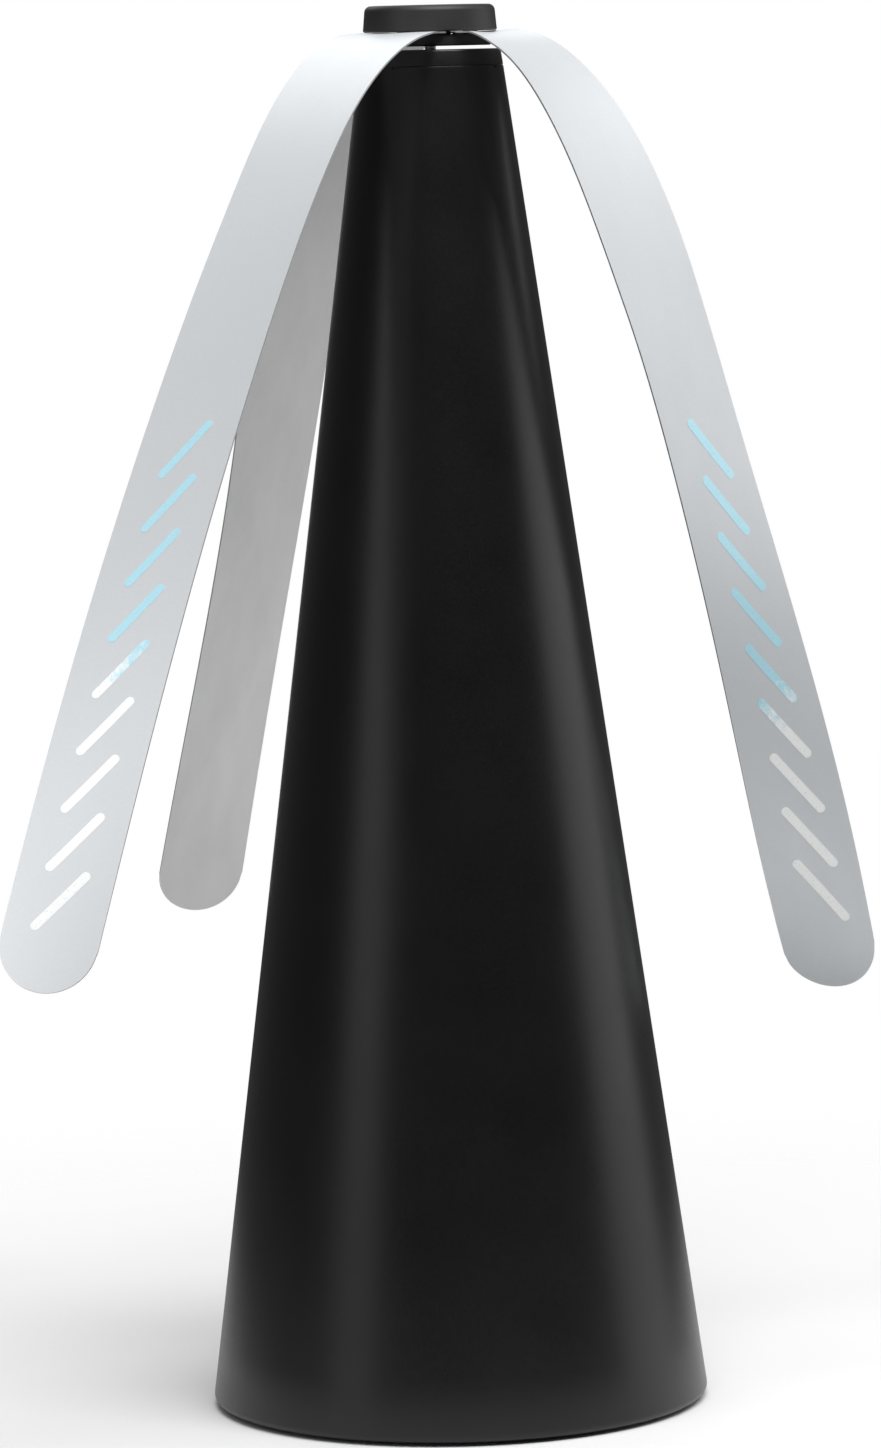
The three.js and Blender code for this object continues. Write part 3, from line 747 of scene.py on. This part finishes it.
def arc(
    centre: tuple[float, float], radius: float, start: float, end: float, count: int
) -> list[tuple[float, float]]:
    """Points on an arc.

    Args:
        centre: The arc's centre in the outline's plane.
        radius: Its radius.
        start: The first angle in degrees.
        end: The last angle.
        count: Spans between points.

    Returns:
        The points, both ends included.
    """
    angles = [math.radians(start + (end - start) * i / count) for i in range(count + 1)]
    return [(centre[0] + radius * math.cos(a), centre[1] + radius * math.sin(a)) for a in angles]


def polar(radius: float, angle: float) -> tuple[float, float]:
    """The point at a radius and an angle in degrees."""
    return radius * math.cos(math.radians(angle)), radius * math.sin(math.radians(angle))


def report(piece: bpy.types.Object) -> None:
    """Logs what a piece is made of."""
    LOG.info("%s: %d faces", piece.name, len(piece.data.polygons))


# ---------------------------------------------------------------- body
@dataclass
class Body:
    """The cone, its collar and its feet, in millimetres and degrees."""

    height: float = 247.0
    base_radius: float = 45.6
    top_radius: float = 12.7
    wall: float = 1.5
    foot_wall: float = 1.8
    rim: float = 0.6
    rim_round: float = 1.5
    seam: float = 244.0
    fit: float = 0.3
    tabs: tuple[float, ...] = (61.0, 151.0, 241.0, 331.0)
    seam_gap: float = 0.06
    tab_half: float = 0.45
    tab_depth: float = 0.35
    chamfer: float = 0.08  # on both edges of the seam
    steps: int = 180
    screws: tuple[float, ...] = (90.0, 210.0, 330.0)
    screw_circle: float = 37.8
    boss_radius: float = 3.2
    pilot_radius: float = 1.6
    motor_radius: float = 10.3
    legs: tuple[float, ...] = (90.0, 270.0)
    leg_circle: float = 9.45
    feet: tuple[float, ...] = (45.0, 135.0, 225.0, 315.0)
    foot_circle: float = 36.0
    foot_radius: float = 4.5
    foot_height: float = 0.7

    def radius_at(self, height: float) -> float:
        """The cone's outer radius at a height."""
        return self.base_radius + (self.top_radius - self.base_radius) * height / self.height

    def _notch(self) -> Blank:
        """The cutter on +X for a snap tab's notch.

        Returns:
            The cutter.
        """
        half = self.tab_half + self.seam_gap
        low = (self.radius_at(self.seam) - self.wall - 1, -half, self.seam - self.tab_depth - self.seam_gap)
        return Blank().block(low, (self.top_radius + 2, half, self.seam + 1))

    def _boss(self, angle: float) -> Blank:
        """A screw boss and the rib that ties it to the wall.

        Args:
            angle: Its place round the axis in degrees.

        Returns:
            The boss.
        """
        bottom, top = 5.9, 20.0
        post = Blank().rod(self.boss_radius, bottom, top, self.screw_circle)
        reach = self.radius_at(top) - self.foot_wall / 2
        rib = Blank().block((self.screw_circle, -1, bottom), (reach, 1, top - 1))
        return post.join(rib).turned_by(angle)

    def cone(self) -> bpy.types.Object:
        """The cone shell with its rounded rim, bosses and notches.

        Returns:
            The piece.
        """
        turning = self.radius_at(self.rim + self.rim_round) - self.rim_round
        inner_top = self.radius_at(self.seam) - self.wall
        lip = self.chamfer
        outline = [(self.radius_at(self.rim) - self.foot_wall, self.rim)]
        outline += arc((turning, self.rim + self.rim_round), self.rim_round, -90, 0, 8)
        outline += [(self.radius_at(z), z) for z in (12, 60, 120, 180, 230, self.seam - 2.5, self.seam - 0.5)]
        outline += arc((self.radius_at(self.seam) - lip, self.seam - lip), lip, 8, 90, 4)
        outline += [(inner_top, self.seam), (inner_top + 0.3, self.seam - 2.5)]
        outline += [(self.radius_at(z) - self.wall, z) for z in (180, 100, 30)]
        outline += [(self.radius_at(26) - self.foot_wall, 26), outline[0]]
        shell = Blank().turn(outline, self.steps)
        shell.join(*(self._boss(angle) for angle in self.screws))
        for angle in self.screws:
            shell.cut(Blank().rod(self.pilot_radius, 3, 17, self.screw_circle, 0, 24).turned_by(angle))
        shell.cut(*(self._notch().turned_by(angle) for angle in self.tabs))
        return shell.piece("cone_body", MATT_BLACK)

    def collar(self) -> bpy.types.Object:
        """The top collar: band, plate, skirt, snap tabs and the motor's legs.

        Returns:
            The piece.
        """
        band, plate, skirt = self.seam + self.seam_gap, self.height - 2, self.seam - 8
        outer = self.radius_at(self.seam) - self.wall - self.fit
        inner, bore, edge = self.motor_radius, 2.2, 0.45
        surface = self.radius_at(band)
        groove, rest = surface - 0.3, self.seam + 0.01
        outline = [(bore, plate), (inner, plate), (inner, skirt), (outer, skirt), (outer, band - 1)]
        outline += [(outer, rest), (groove, rest), (groove, band)]
        outline += [(surface - self.chamfer, band), (surface, band + self.chamfer)]
        outline += arc((self.radius_at(self.height) - edge, self.height - edge), edge, 8, 90, 5)
        outline += [(bore + 0.2, self.height), (bore, self.height - 0.2), (bore, plate)]
        ring = Blank().turn(outline, self.steps)
        for angle in self.tabs:
            reach = self.radius_at(self.seam) - 0.1
            low = (outer - 0.6, -self.tab_half, self.seam - self.tab_depth)
            ring.join(Blank().block(low, (reach, self.tab_half, band + 0.2)).turned_by(angle))
        for angle in self.legs:
            leg = Blank().block((8.1, -4.2, 212.5), (10.8, 4.2, skirt + 2)).ease(0.25, 2)
            leg.cut(Blank().rod(1.15, 211, 221.5, self.leg_circle, 0, 24))
            ring.join(leg.turned_by(angle))
        return ring.piece("collar", MATT_BLACK)

    def foot(self, number: int, angle: float) -> bpy.types.Object:
        """One rubber foot with rounded edges and a slightly hollow face.

        Args:
            number: Its number, from 1.
            angle: Its place round the axis in degrees.

        Returns:
            The piece.
        """
        radius, thick, rounding = self.foot_radius, self.foot_height, 0.3
        outline = [(0, 0.12), (radius - 1.4, 0.12), (radius - 1.1, 0)]
        outline += arc((radius - rounding, rounding), rounding, -90, 0, 5)
        outline += [(radius, thick - 0.1), (radius - 0.1, thick), (0, thick)]
        x, y = polar(self.foot_circle, angle)
        pad = Blank().turn(outline, 64).place(Matrix.Translation((x * MM, y * MM, 0)))
        return pad.piece(f"foot_pad_{number}", RUBBER)

    def build(self) -> None:
        """Builds the body's pieces and puts them on their body."""
        for piece, node in ((self.cone(), "cone_shell"), (self.collar(), "top_collar")):
            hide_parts(node)
            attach(piece, "body")
            report(piece)
        for number, angle in enumerate(self.feet, 1):
            pad = self.foot(number, angle)
            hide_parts(f"foot_{number}")
            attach(pad, "body")
            report(pad)


# ---------------------------------------------------------------- rotor
@dataclass(frozen=True)
class FilmPath:
    """How one film blade leaves the hub and droops.

    Bend and twist are degrees in a millimetre at the stations' lengths from the clamp edge.
    """

    side: str
    azimuth: float
    bend: tuple[float, ...]
    twist: tuple[float, ...]
    clamp: float = 9.6
    height: float = 250.0
    length: float = 202.0
    root_width: float = 23.0
    tip_width: float = 17.0
    root_trim: float = 2.3
    trim_length: float = 6.0
    bend_stations: tuple[float, ...] = (0, 18, 45, 90, 200)
    twist_stations: tuple[float, ...] = (0, 60, 200)
    step: float = 0.5

    @property
    def node(self) -> str:
        """The start of the blade's node and body names."""
        return f"blade_{self.side}"

    def half_width(self, length: float) -> float:
        """Half of the film's width, trimmed next to the clamp.

        Args:
            length: Millimetres from the clamp edge.

        Returns:
            Half the width in millimetres.
        """
        full = (self.root_width + (self.tip_width - self.root_width) * length / self.length) / 2
        left = max(0.0, 1 - max(0.0, length) / self.trim_length)
        return full - self.root_trim * left * left

    @staticmethod
    def _between(at: float, stations: tuple[float, ...], values: tuple[float, ...]) -> float:
        """The value at a length, straight between stations and held outside them.

        Args:
            at: The length.
            stations: Lengths in rising order.
            values: The value at each station.

        Returns:
            The value.
        """
        if at <= stations[0]:
            return values[0]
        for i in range(len(stations) - 1):
            if at < stations[i + 1]:
                share = (at - stations[i]) / (stations[i + 1] - stations[i])
                return values[i] + (values[i + 1] - values[i]) * share
        return values[-1]

    def rows(self) -> list[tuple[Vector, Vector, Vector]]:
        """The film's middle line, a step at a time from the clamp edge.

        Returns:
            The middle point, lengthwise and widthwise directions of every row.
        """
        turn = math.radians(self.azimuth)
        along = Vector((math.cos(turn), math.sin(turn), 0))
        across = Vector((-along.y, along.x, 0))
        centre = along * self.clamp + Vector((0, 0, self.height))
        rows = [(centre.copy(), along.copy(), across.copy())]
        for i in range(int(self.length / self.step)):
            at = (i + 0.5) * self.step
            bend = math.radians(self._between(at, self.bend_stations, self.bend)) * self.step
            twist = math.radians(self._between(at, self.twist_stations, self.twist)) * self.step
            axis = along * twist + across * bend
            before = along.copy()
            if axis.length > 0:
                spin = Quaternion(axis.normalized(), axis.length)
                along, across = spin @ along, spin @ across
            centre = centre + (before + along) * (self.step / 2)
            rows.append((centre.copy(), along.copy(), across.copy()))
        return rows


class Blade:
    """One film blade: a shoulder that leaves the hub, a fin, and foil stripes on the fin's outer face."""

    thickness = 0.3
    split = 15.0  # length where the shoulder ends and the fin starts
    tab_reach = 4.4
    tab_taper = 54.0
    columns = 14
    peg_hole = 1.6
    first_bend = (0.0, 12.0)  # lengths over which the film turns at its first hinge
    second_bend = (18.0, 45.0)

    def __init__(self, path: FilmPath, stripes: "Stripes") -> None:
        """Takes the blade's path and its stripes' layout.

        Args:
            path: How the film leaves the hub.
            stripes: The stripes' layout.
        """
        self.path = path
        self.stripes = stripes
        self.rows = path.rows()

    def frame_at(self, length: float) -> tuple[Vector, Vector, Vector, Vector]:
        """The film's frame at a length.

        Args:
            length: Millimetres from the clamp edge, negative inside the clamp.

        Returns:
            The middle point, the lengthwise and widthwise directions and the outer normal.
        """
        place = max(0.0, min(length / self.path.step, len(self.rows) - 1.000001))
        index = int(place)
        share = place - index
        (c0, a0, w0), (c1, a1, w1) = self.rows[index], self.rows[index + 1]
        centre = c0.lerp(c1, share)
        along, across = a0.lerp(a1, share).normalized(), w0.lerp(w1, share).normalized()
        if length < 0:
            centre = self.rows[0][0] + self.rows[0][1] * length
        return centre, along, across, along.cross(across)

    def point(self, across: float, length: float, lift: float = 0.0) -> Vector:
        """A point of the film in metres.

        Args:
            across: Millimetres along the widthwise direction.
            length: Millimetres from the clamp edge.
            lift: Millimetres above the film's middle surface.

        Returns:
            The point.
        """
        centre, _, width, normal = self.frame_at(length)
        return (centre + width * across + normal * lift) * MM

    def _laid(
        self, columns: int, rows: int, place: Callable[[float, float], tuple[float, float]], lift: float
    ) -> Blank:
        """A grid laid on the film.

        Args:
            columns: Faces across.
            rows: Faces along.
            place: Turns a grid point, -1 to 1 both ways, into across and length in millimetres.
            lift: Millimetres above the film's middle surface.

        Returns:
            The blank, with the film's own map on its faces.
        """
        sheet = Blank()
        bmesh.ops.create_grid(sheet.mesh, x_segments=columns, y_segments=rows, size=1)
        places = {vert: place(vert.co.x, vert.co.y) for vert in sheet.mesh.verts}
        layer = sheet.mesh.loops.layers.uv.new(FILM_MAP)
        for face in sheet.mesh.faces:
            for loop in face.loops:
                loop[layer].uv = places[loop.vert]
        for vert, (across, length) in places.items():
            vert.co = self.point(across, length, lift)
        bmesh.ops.remove_doubles(sheet.mesh, verts=sheet.mesh.verts, dist=TINY)
        return sheet

    def _film(self, name: str, stations: list[tuple[float, float]]) -> bpy.types.Object:
        """A strip of film with its thickness.

        Args:
            name: The piece's name.
            stations: Length and half width of each row.

        Returns:
            The piece, with outer, inner and edge finishes.
        """
        last = len(stations) - 1

        def place(x: float, y: float) -> tuple[float, float]:
            """Across and length of a grid point."""
            length, half = stations[round((y + 1) / 2 * last)]
            return -x * half, length

        sheet = self._laid(self.columns, last, place, 0.0)
        # The inner finish carries painted light that brightens the shaded inner faces.
        film = sheet.piece(name, FILM_OUTER, FILM_INNER_PAINTED_LIGHT, FILM_EDGE, smooth=40)
        wall = film.modifiers.new("wall", "SOLIDIFY")
        wall.thickness, wall.offset = self.thickness * MM, 0
        wall.material_offset, wall.material_offset_rim = 1, 2
        return baked(film)

    def _evenly(self, start: float, end: float, spacing: float) -> list[tuple[float, float]]:
        """Stations from one length to another.

        Args:
            start: The first length.
            end: The last length.
            spacing: About how far apart they are.

        Returns:
            Length and half width of each station.
        """
        count = max(1, round((end - start) / spacing))
        lengths = [start + (end - start) * i / count for i in range(count + 1)]
        return [(length, self.path.half_width(length)) for length in lengths]

    def shoulder(self) -> bpy.types.Object:
        """The film from its tab under the cap to the split, with the peg's hole.

        Returns:
            The piece.
        """
        slope = math.tan(math.radians(self.tab_taper))
        full = self.path.half_width(0)
        narrow = (self.path.clamp - self.tab_reach - 0.5) * slope
        wide = full / slope + 0.5 - self.path.clamp
        count = 8
        tab = [
            (-self.tab_reach + (wide + self.tab_reach) * i / count, narrow + (full - narrow) * i / count)
            for i in range(count)
        ]
        stations = tab + [(wide, full)] + self._evenly(0, self.split, 0.5)
        film = self._film(f"film_shoulder_{self.path.side}", stations)
        x, y = polar(Rotor.peg_circle, self.path.azimuth)
        peg = Blank().rod(self.peg_hole, 249, 251, x, y, 32)._loose()
        hole = film.modifiers.new("peg_hole", "BOOLEAN")
        hole.operation, hole.solver, hole.object = "DIFFERENCE", "EXACT", peg
        baked(film)
        bpy.data.objects.remove(peg)
        return film

    def fin(self) -> bpy.types.Object:
        """The film from the split to its round tip.

        Returns:
            The piece.
        """
        radius = self.path.tip_width / 2
        straight_end = self.path.length - radius
        stations = self._evenly(self.split, 30, 0.5)
        stations += self._evenly(30, 60, 1.0)[1:] + self._evenly(60, straight_end, 2.0)[1:]
        count = 16
        for i in range(1, count + 1):
            turn = math.radians(90 * i / count)
            stations.append((straight_end + radius * math.sin(turn), radius * math.cos(turn)))
        return self._film(f"film_fin_{self.path.side}", stations)

    def build(self) -> None:
        """Builds the blade's pieces and puts the stripes on."""
        node = self.path.node
        shoulder, fin = self.shoulder(), self.fin()
        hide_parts(f"{node}_tab", f"{node}_inner")
        start, end = (self.point(0, length) for length in self.first_bend)
        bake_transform(shoulder)
        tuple(start)
        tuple(end)
        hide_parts(f"{node}_outer")
        start, end = (self.point(0, length) for length in self.second_bend)
        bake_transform(fin)
        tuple(start)
        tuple(end)
        foil = self.stripes.build(self)
        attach(foil, f"{node}_outer")
        for piece in (shoulder, fin, foil):
            report(piece)


def baked(piece: bpy.types.Object, smooth: float = 40.0) -> bpy.types.Object:
    """Applies a piece's modifiers to its own mesh.

    Args:
        piece: The piece.
        smooth: The least angle in degrees that shows as an edge.

    Returns:
        The same piece.
    """
    old, new = piece.data, applied(piece)
    piece.modifiers.clear()
    piece.data = new
    bpy.data.meshes.remove(old)
    new.name = piece.name
    new.set_sharp_from_angle(angle=math.radians(smooth))
    return piece


@dataclass(frozen=True)
class Stripes:
    """Nine slanting foil stripes down the outer face of a blade.

    Across is towards the film's widthwise direction, and lengths run from the clamp edge.
    """

    upper: float = 4.0
    lower: float = -3.6
    first: float = 101.4
    pitch: float = 10.56
    fall: float = 11.0
    count: int = 9
    width: float = 1.7
    proud: float = 0.035
    clearance: float = 0.005  # between the foil and the film under it
    end_rows: int = 8
    middle_rows: int = 10

    def _stripe(self, blade: Blade, number: int) -> Blank:
        """One stripe, laid on the film as a thin round-ended strip.

        Args:
            blade: The blade that it lies on.
            number: Its number, from 0 at the clamp's end.

        Returns:
            The strip.
        """
        middle = self.first + self.pitch * number
        half = math.hypot(self.upper - self.lower, self.fall) / 2 - self.width / 2
        slope = Vector((self.lower - self.upper, self.fall)).normalized()
        side = Vector((slope.y, -slope.x))
        centre = Vector(((self.upper + self.lower) / 2, middle))
        radius = self.width / 2
        ends, straight = self.end_rows, self.middle_rows
        rows = 2 * ends + straight

        def place(x: float, y: float) -> tuple[float, float]:
            """Lays a grid point, with rows that crowd towards the round ends.

            Args:
                x: Its place across the grid, -1 to 1.
                y: Its place along the grid, -1 to 1.

            Returns:
                Across and length in millimetres.
            """
            row = round((y + 1) / 2 * rows)
            if row < ends:
                along = -half - radius * math.cos(math.radians(90 * row / ends))
            elif row > ends + straight:
                along = half + radius * math.sin(math.radians(90 * (row - ends - straight) / ends))
            else:
                along = -half + 2 * half * (row - ends) / straight
            beyond = max(0.0, abs(along) - half)
            wide = math.sqrt(max(0.0, radius * radius - beyond * beyond))
            spot = centre + slope * along + side * (-x * wide)
            return spot.x, spot.y

        return blade._laid(4, rows, place, blade.thickness / 2 + self.proud)

    def build(self, blade: Blade) -> bpy.types.Object:
        """All nine stripes of a blade as one piece.

        Args:
            blade: The blade that they lie on.

        Returns:
            The piece.
        """
        whole = Blank()
        for number in range(self.count):
            data = bpy.data.meshes.new("stripe")
            strip = self._stripe(blade, number)
            strip.mesh.to_mesh(data)
            strip.mesh.free()
            whole.mesh.from_mesh(data)
            bpy.data.meshes.remove(data)
        foil = whole.piece(f"foil_stripes_{blade.path.side}", FOIL, smooth=40)
        wall = foil.modifiers.new("wall", "SOLIDIFY")
        wall.thickness, wall.offset = (self.proud - self.clearance) * MM, -1
        return baked(foil)


@dataclass
class Rotor:
    """The hub, the cap and the three blades."""

    hub_radius: float = 11.0
    hub_bottom: float = 247.6
    hub_top: float = 249.72
    cap_radius: float = 12.1
    cap_bottom: float = 250.24
    cap_top: float = 255.0
    cap_taper: float = 0.3
    cap_round: float = 1.2
    peg_circle: float = 7.5
    first_place: float = 229.6
    blades: list[Blade] = field(default_factory=list)

    def __post_init__(self) -> None:
        """Lays out the three blades."""
        left = Stripes()
        right = Stripes(upper=-2.9, lower=4.6, first=91.4, pitch=11.2, fall=14.4)
        shapes = (
            ("front_left", 0, 2.7, (2.66, 1.12, 0.15, 0.07, 0.09), (0.39, -0.14, -0.31), left),
            ("front_right", 120, -5.1, (4.91, 1.11, 0.32, 0.02, 0.16), (1.08, -0.02, 1.0), right),
            ("rear", 240, 12.0, (2.84, 1.31, 0.43, -0.1, 0.08), (-0.08, -0.19, 0.48), left),
        )
        for side, place, skew, bend, twist, stripes in shapes:
            path = FilmPath(side, self.first_place + place + skew, bend, twist)
            self.blades.append(Blade(path, stripes))

    def hub(self) -> bpy.types.Object:
        """The hub disc with its boss, its pegs, its bore and a black block between each two films, which is
        part hub and part a stand-in for the shade under the cap.

        Returns:
            The piece.
        """
        edge = 0.35
        boss, bore, boss_top = 3.2, 1.2, 252.45
        outline = [(bore, self.hub_bottom)]
        outline += arc((self.hub_radius - edge, self.hub_bottom + edge), edge, -90, 0, 4)
        outline += arc((self.hub_radius - edge, self.hub_top - edge), edge, 0, 90, 4)
        outline += [(boss, self.hub_top), (boss, boss_top - 0.2), (boss - 0.2, boss_top)]
        outline += [(bore + 0.2, boss_top), (bore, boss_top - 0.2), (bore, self.hub_bottom)]
        disc = Blank().turn(outline, 96)
        for blade in self.blades:
            x, y = polar(self.peg_circle, blade.path.azimuth)
            peg = Blank().turn([(0, 249.3), (1.3, 249.3), (1.3, 251.4), (1.05, 251.65), (0, 251.65)], 32)
            disc.join(peg.place(Matrix.Translation((x * MM, y * MM, 0))))
        azimuths = sorted(blade.path.azimuth % 360 for blade in self.blades)
        for here, after in zip(azimuths, azimuths[1:] + [azimuths[0] + 360]):
            # Each block is part of the hub and also a dark stand-in for the shade that falls under the cap
            # between the films.
            land_and_shade_block = Blank().block((7.4, -0.5, 249.4), (10.3, 0.5, self.cap_bottom - 0.05))
            disc.join(land_and_shade_block.turned_by((here + after) / 2))
        return disc.piece("hub_disc", CAP_BLACK)

    def cap(self) -> bpy.types.Object:
        """The cap with its rounded top edge, socket and peg holes.

        Returns:
            The piece.
        """
        top_radius = self.cap_radius - self.cap_taper
        edge, socket, socket_top = 0.25, 3.5, 253.45
        outline = [(0, socket_top), (socket, socket_top), (socket, self.cap_bottom)]
        outline += [(self.cap_radius - edge, self.cap_bottom), (self.cap_radius, self.cap_bottom + edge)]
        turning = (top_radius - self.cap_round, self.cap_top - self.cap_round)
        outline += arc(turning, self.cap_round, 4, 90, 10)
        outline += [(top_radius - self.cap_round - 0.8, self.cap_top), (0, self.cap_top)]
        body = Blank().turn(outline, 144)
        for blade in self.blades:
            x, y = polar(self.peg_circle, blade.path.azimuth)
            body.cut(Blank().rod(1.6, 249, 252.05, x, y, 32))
        return body.piece("cap", CAP_BLACK)

    def build(self) -> None:
        """Builds the rotor's pieces and puts them on their bodies."""
        for piece, node in ((self.hub(), "rotor_hub"), (self.cap(), "rotor_cap")):
            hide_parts(node)
            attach(piece, "rotor")
            report(piece)
        for blade in self.blades:
            blade.build()


# ---------------------------------------------------------------- carried-over frame pieces
class Carried:
    """The frame's own pieces that keep their shape and get a finish."""

    finishes: dict[str, Finish] = {
        "motor_can": ZINC_STEEL,
        "motor_end_bell": MOTOR_PLASTIC,
        "motor_retainer": MOTOR_PLASTIC,
        "bush_": BRONZE,
        "thrust_washer": BRONZE,
        "magnet_": FERRITE,
        "brush_terminal_": COPPER,
        "commutator": COPPER,
        "retainer_screw_": BRIGHT_STEEL,
        "motor_shaft": BRIGHT_STEEL,
        "armature_core": ZINC_STEEL,
        "armature_winding_": WINDING,
        "base_plate": BASE_PLASTIC,
        "battery_door": BASE_PLASTIC,
        "base_screw_": BRIGHT_STEEL,
        "cell_front": SLEEVE_FRONT,
        "cell_rear": SLEEVE_REAR,
        "contact_": BRIGHT_STEEL,
        "switch_housing": SWITCH_PLASTIC,
        "switch_slider": SWITCH_PLASTIC,
        "switch_terminal_": COPPER,
        "wire_positive": RED_SHEATH,
        "wire_": BLACK_SHEATH,
    }

    def dress(self) -> None:
        """Gives every shown node of the frame the finish that its name starts with."""
        for name, node in sorted(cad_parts.items()):
            finish = next((f for start, f in self.finishes.items() if name.startswith(start)), None)
            if finish is None or node.hide_render:
                continue
            if not node.material_slots:
                node.data.materials.append(finish.material())
            for slot in node.material_slots:
                slot.material = finish.material()
            LOG.info("%s: %s", name, finish.name)


# ---------------------------------------------------------------- stage
class Softbox(Enum):
    """The studio's lights.

    Each has its azimuth and elevation in degrees seen from the fan, its distance, width and height in metres,
    and its watts.
    """

    LEFT = (-52.0, 24.0, 1.2, 0.48, 1.3, 2.4)
    RIGHT = (102.0, 22.0, 1.1, 0.8, 1.3, 4.0)
    OVER_FRONT = (24.0, 55.0, 1.2, 1.3, 0.4, 15.0)
    TOP = (0.0, 84.0, 1.2, 0.9, 0.9, 7.0)
    BACK = (196.0, 40.0, 1.3, 1.2, 0.6, 3.5)


@dataclass
class Studio:
    """The camera, the pale floor, the white surround and the lights."""

    distance: float = 1.201
    eye_height: float = 0.247
    pitch: float = 5.82
    roll: float = 1.314
    lens: float = 164.56
    shift: float = -0.00366
    sensor: float = 36.0
    floor_radius: float = 0.4
    fade_start: float = 90.0  # millimetres from the axis
    fade_end: float = 330.0
    light_target: float = 0.13

    def camera(self) -> None:
        """The camera in front of the fan, level with the top of its body."""
        data = bpy.data.cameras.new("camera")
        data.lens, data.sensor_width, data.sensor_fit = self.lens, self.sensor, "AUTO"
        data.shift_x = self.shift
        data.dof.use_dof = False
        data.clip_start, data.clip_end = 0.05, 50
        eye = bpy.data.objects.new("camera", data)
        pitch = Matrix.Rotation(math.radians(90 - self.pitch), 4, "X")
        roll = Matrix.Rotation(math.radians(-self.roll), 4, "Z")
        eye.matrix_world = Matrix.Translation((0, -self.distance, self.eye_height)) @ (pitch @ roll)
        bpy.context.scene.collection.objects.link(eye)
        bpy.context.scene.camera = eye

    def floor(self) -> None:
        """A pale floor that fades into the white surround."""
        blank = Blank()
        bmesh.ops.create_circle(blank.mesh, cap_ends=True, segments=96, radius=self.floor_radius)
        graph = Graph("pale_floor")
        cloud = graph.noise(graph.own_space(), 0.01, 2)
        reach = graph.add("VectorMath", {"operation": "LENGTH"}, {0: graph.own_space()}, output="Value")
        graph.shade(
            Base_Color=graph.mix(cloud, (0.78, 0.78, 0.78), (0.82, 0.82, 0.82)),
            Roughness=0.9,
            Alpha=graph.span(reach, self.fade_start, self.fade_end, 1.0, 0.0),
        )
        data = bpy.data.meshes.new("floor")
        blank.mesh.to_mesh(data)
        blank.mesh.free()
        data.materials.append(graph.material)
        floor = bpy.data.objects.new("floor", data)
        bpy.context.scene.collection.objects.link(floor)

    def surround(self, seen: float = 1.0, lit: float = 0.09) -> None:
        """A white surround.

        Args:
            seen: Its brightness behind the fan.
            lit: Its brightness as a light.
        """
        world = bpy.data.worlds.new("surround")
        bpy.context.scene.world = world
        world.use_nodes = True
        tree = world.node_tree
        tree.nodes.clear()
        sight = tree.nodes.new("ShaderNodeLightPath")
        level = tree.nodes.new("ShaderNodeMapRange")
        level.inputs[3].default_value, level.inputs[4].default_value = lit, seen
        glow = tree.nodes.new("ShaderNodeBackground")
        glow.inputs[0].default_value = (1, 1, 1, 1)
        output = tree.nodes.new("ShaderNodeOutputWorld")
        tree.links.new(sight.outputs["Is Camera Ray"], level.inputs[0])
        tree.links.new(level.outputs[0], glow.inputs[1])
        tree.links.new(glow.outputs[0], output.inputs[0])

    def lights(self) -> None:
        """The softboxes, each turned towards the fan's middle."""
        target = Vector((0, 0, self.light_target))
        for box in Softbox:
            azimuth, elevation, distance, width, height, watts = box.value
            turn, rise = math.radians(azimuth), math.radians(elevation)
            away = Vector((math.sin(turn) * math.cos(rise), -math.cos(turn) * math.cos(rise), math.sin(rise)))
            data = bpy.data.lights.new(f"softbox_{box.name.lower()}", "AREA")
            data.shape, data.size, data.size_y, data.energy = "RECTANGLE", width, height, watts
            light = bpy.data.objects.new(data.name, data)
            light.location = target + away * distance
            light.rotation_mode = "QUATERNION"
            light.rotation_quaternion = (-away).to_track_quat("-Z", "Y")
            bpy.context.scene.collection.objects.link(light)

    def build(self) -> None:
        """Sets the stage."""
        bpy.context.scene.view_settings.view_transform = "Standard"
        self.camera()
        self.floor()
        self.surround()
        self.lights()


def main() -> None:
    """Builds the stage, the fan's pieces and their finishes."""
    logging.basicConfig(level=logging.INFO, format="%(name)s: %(message)s")
    Studio().build()
    Body().build()
    Rotor().build()
    Carried().dress()


if __name__ == "__main__":
    main()
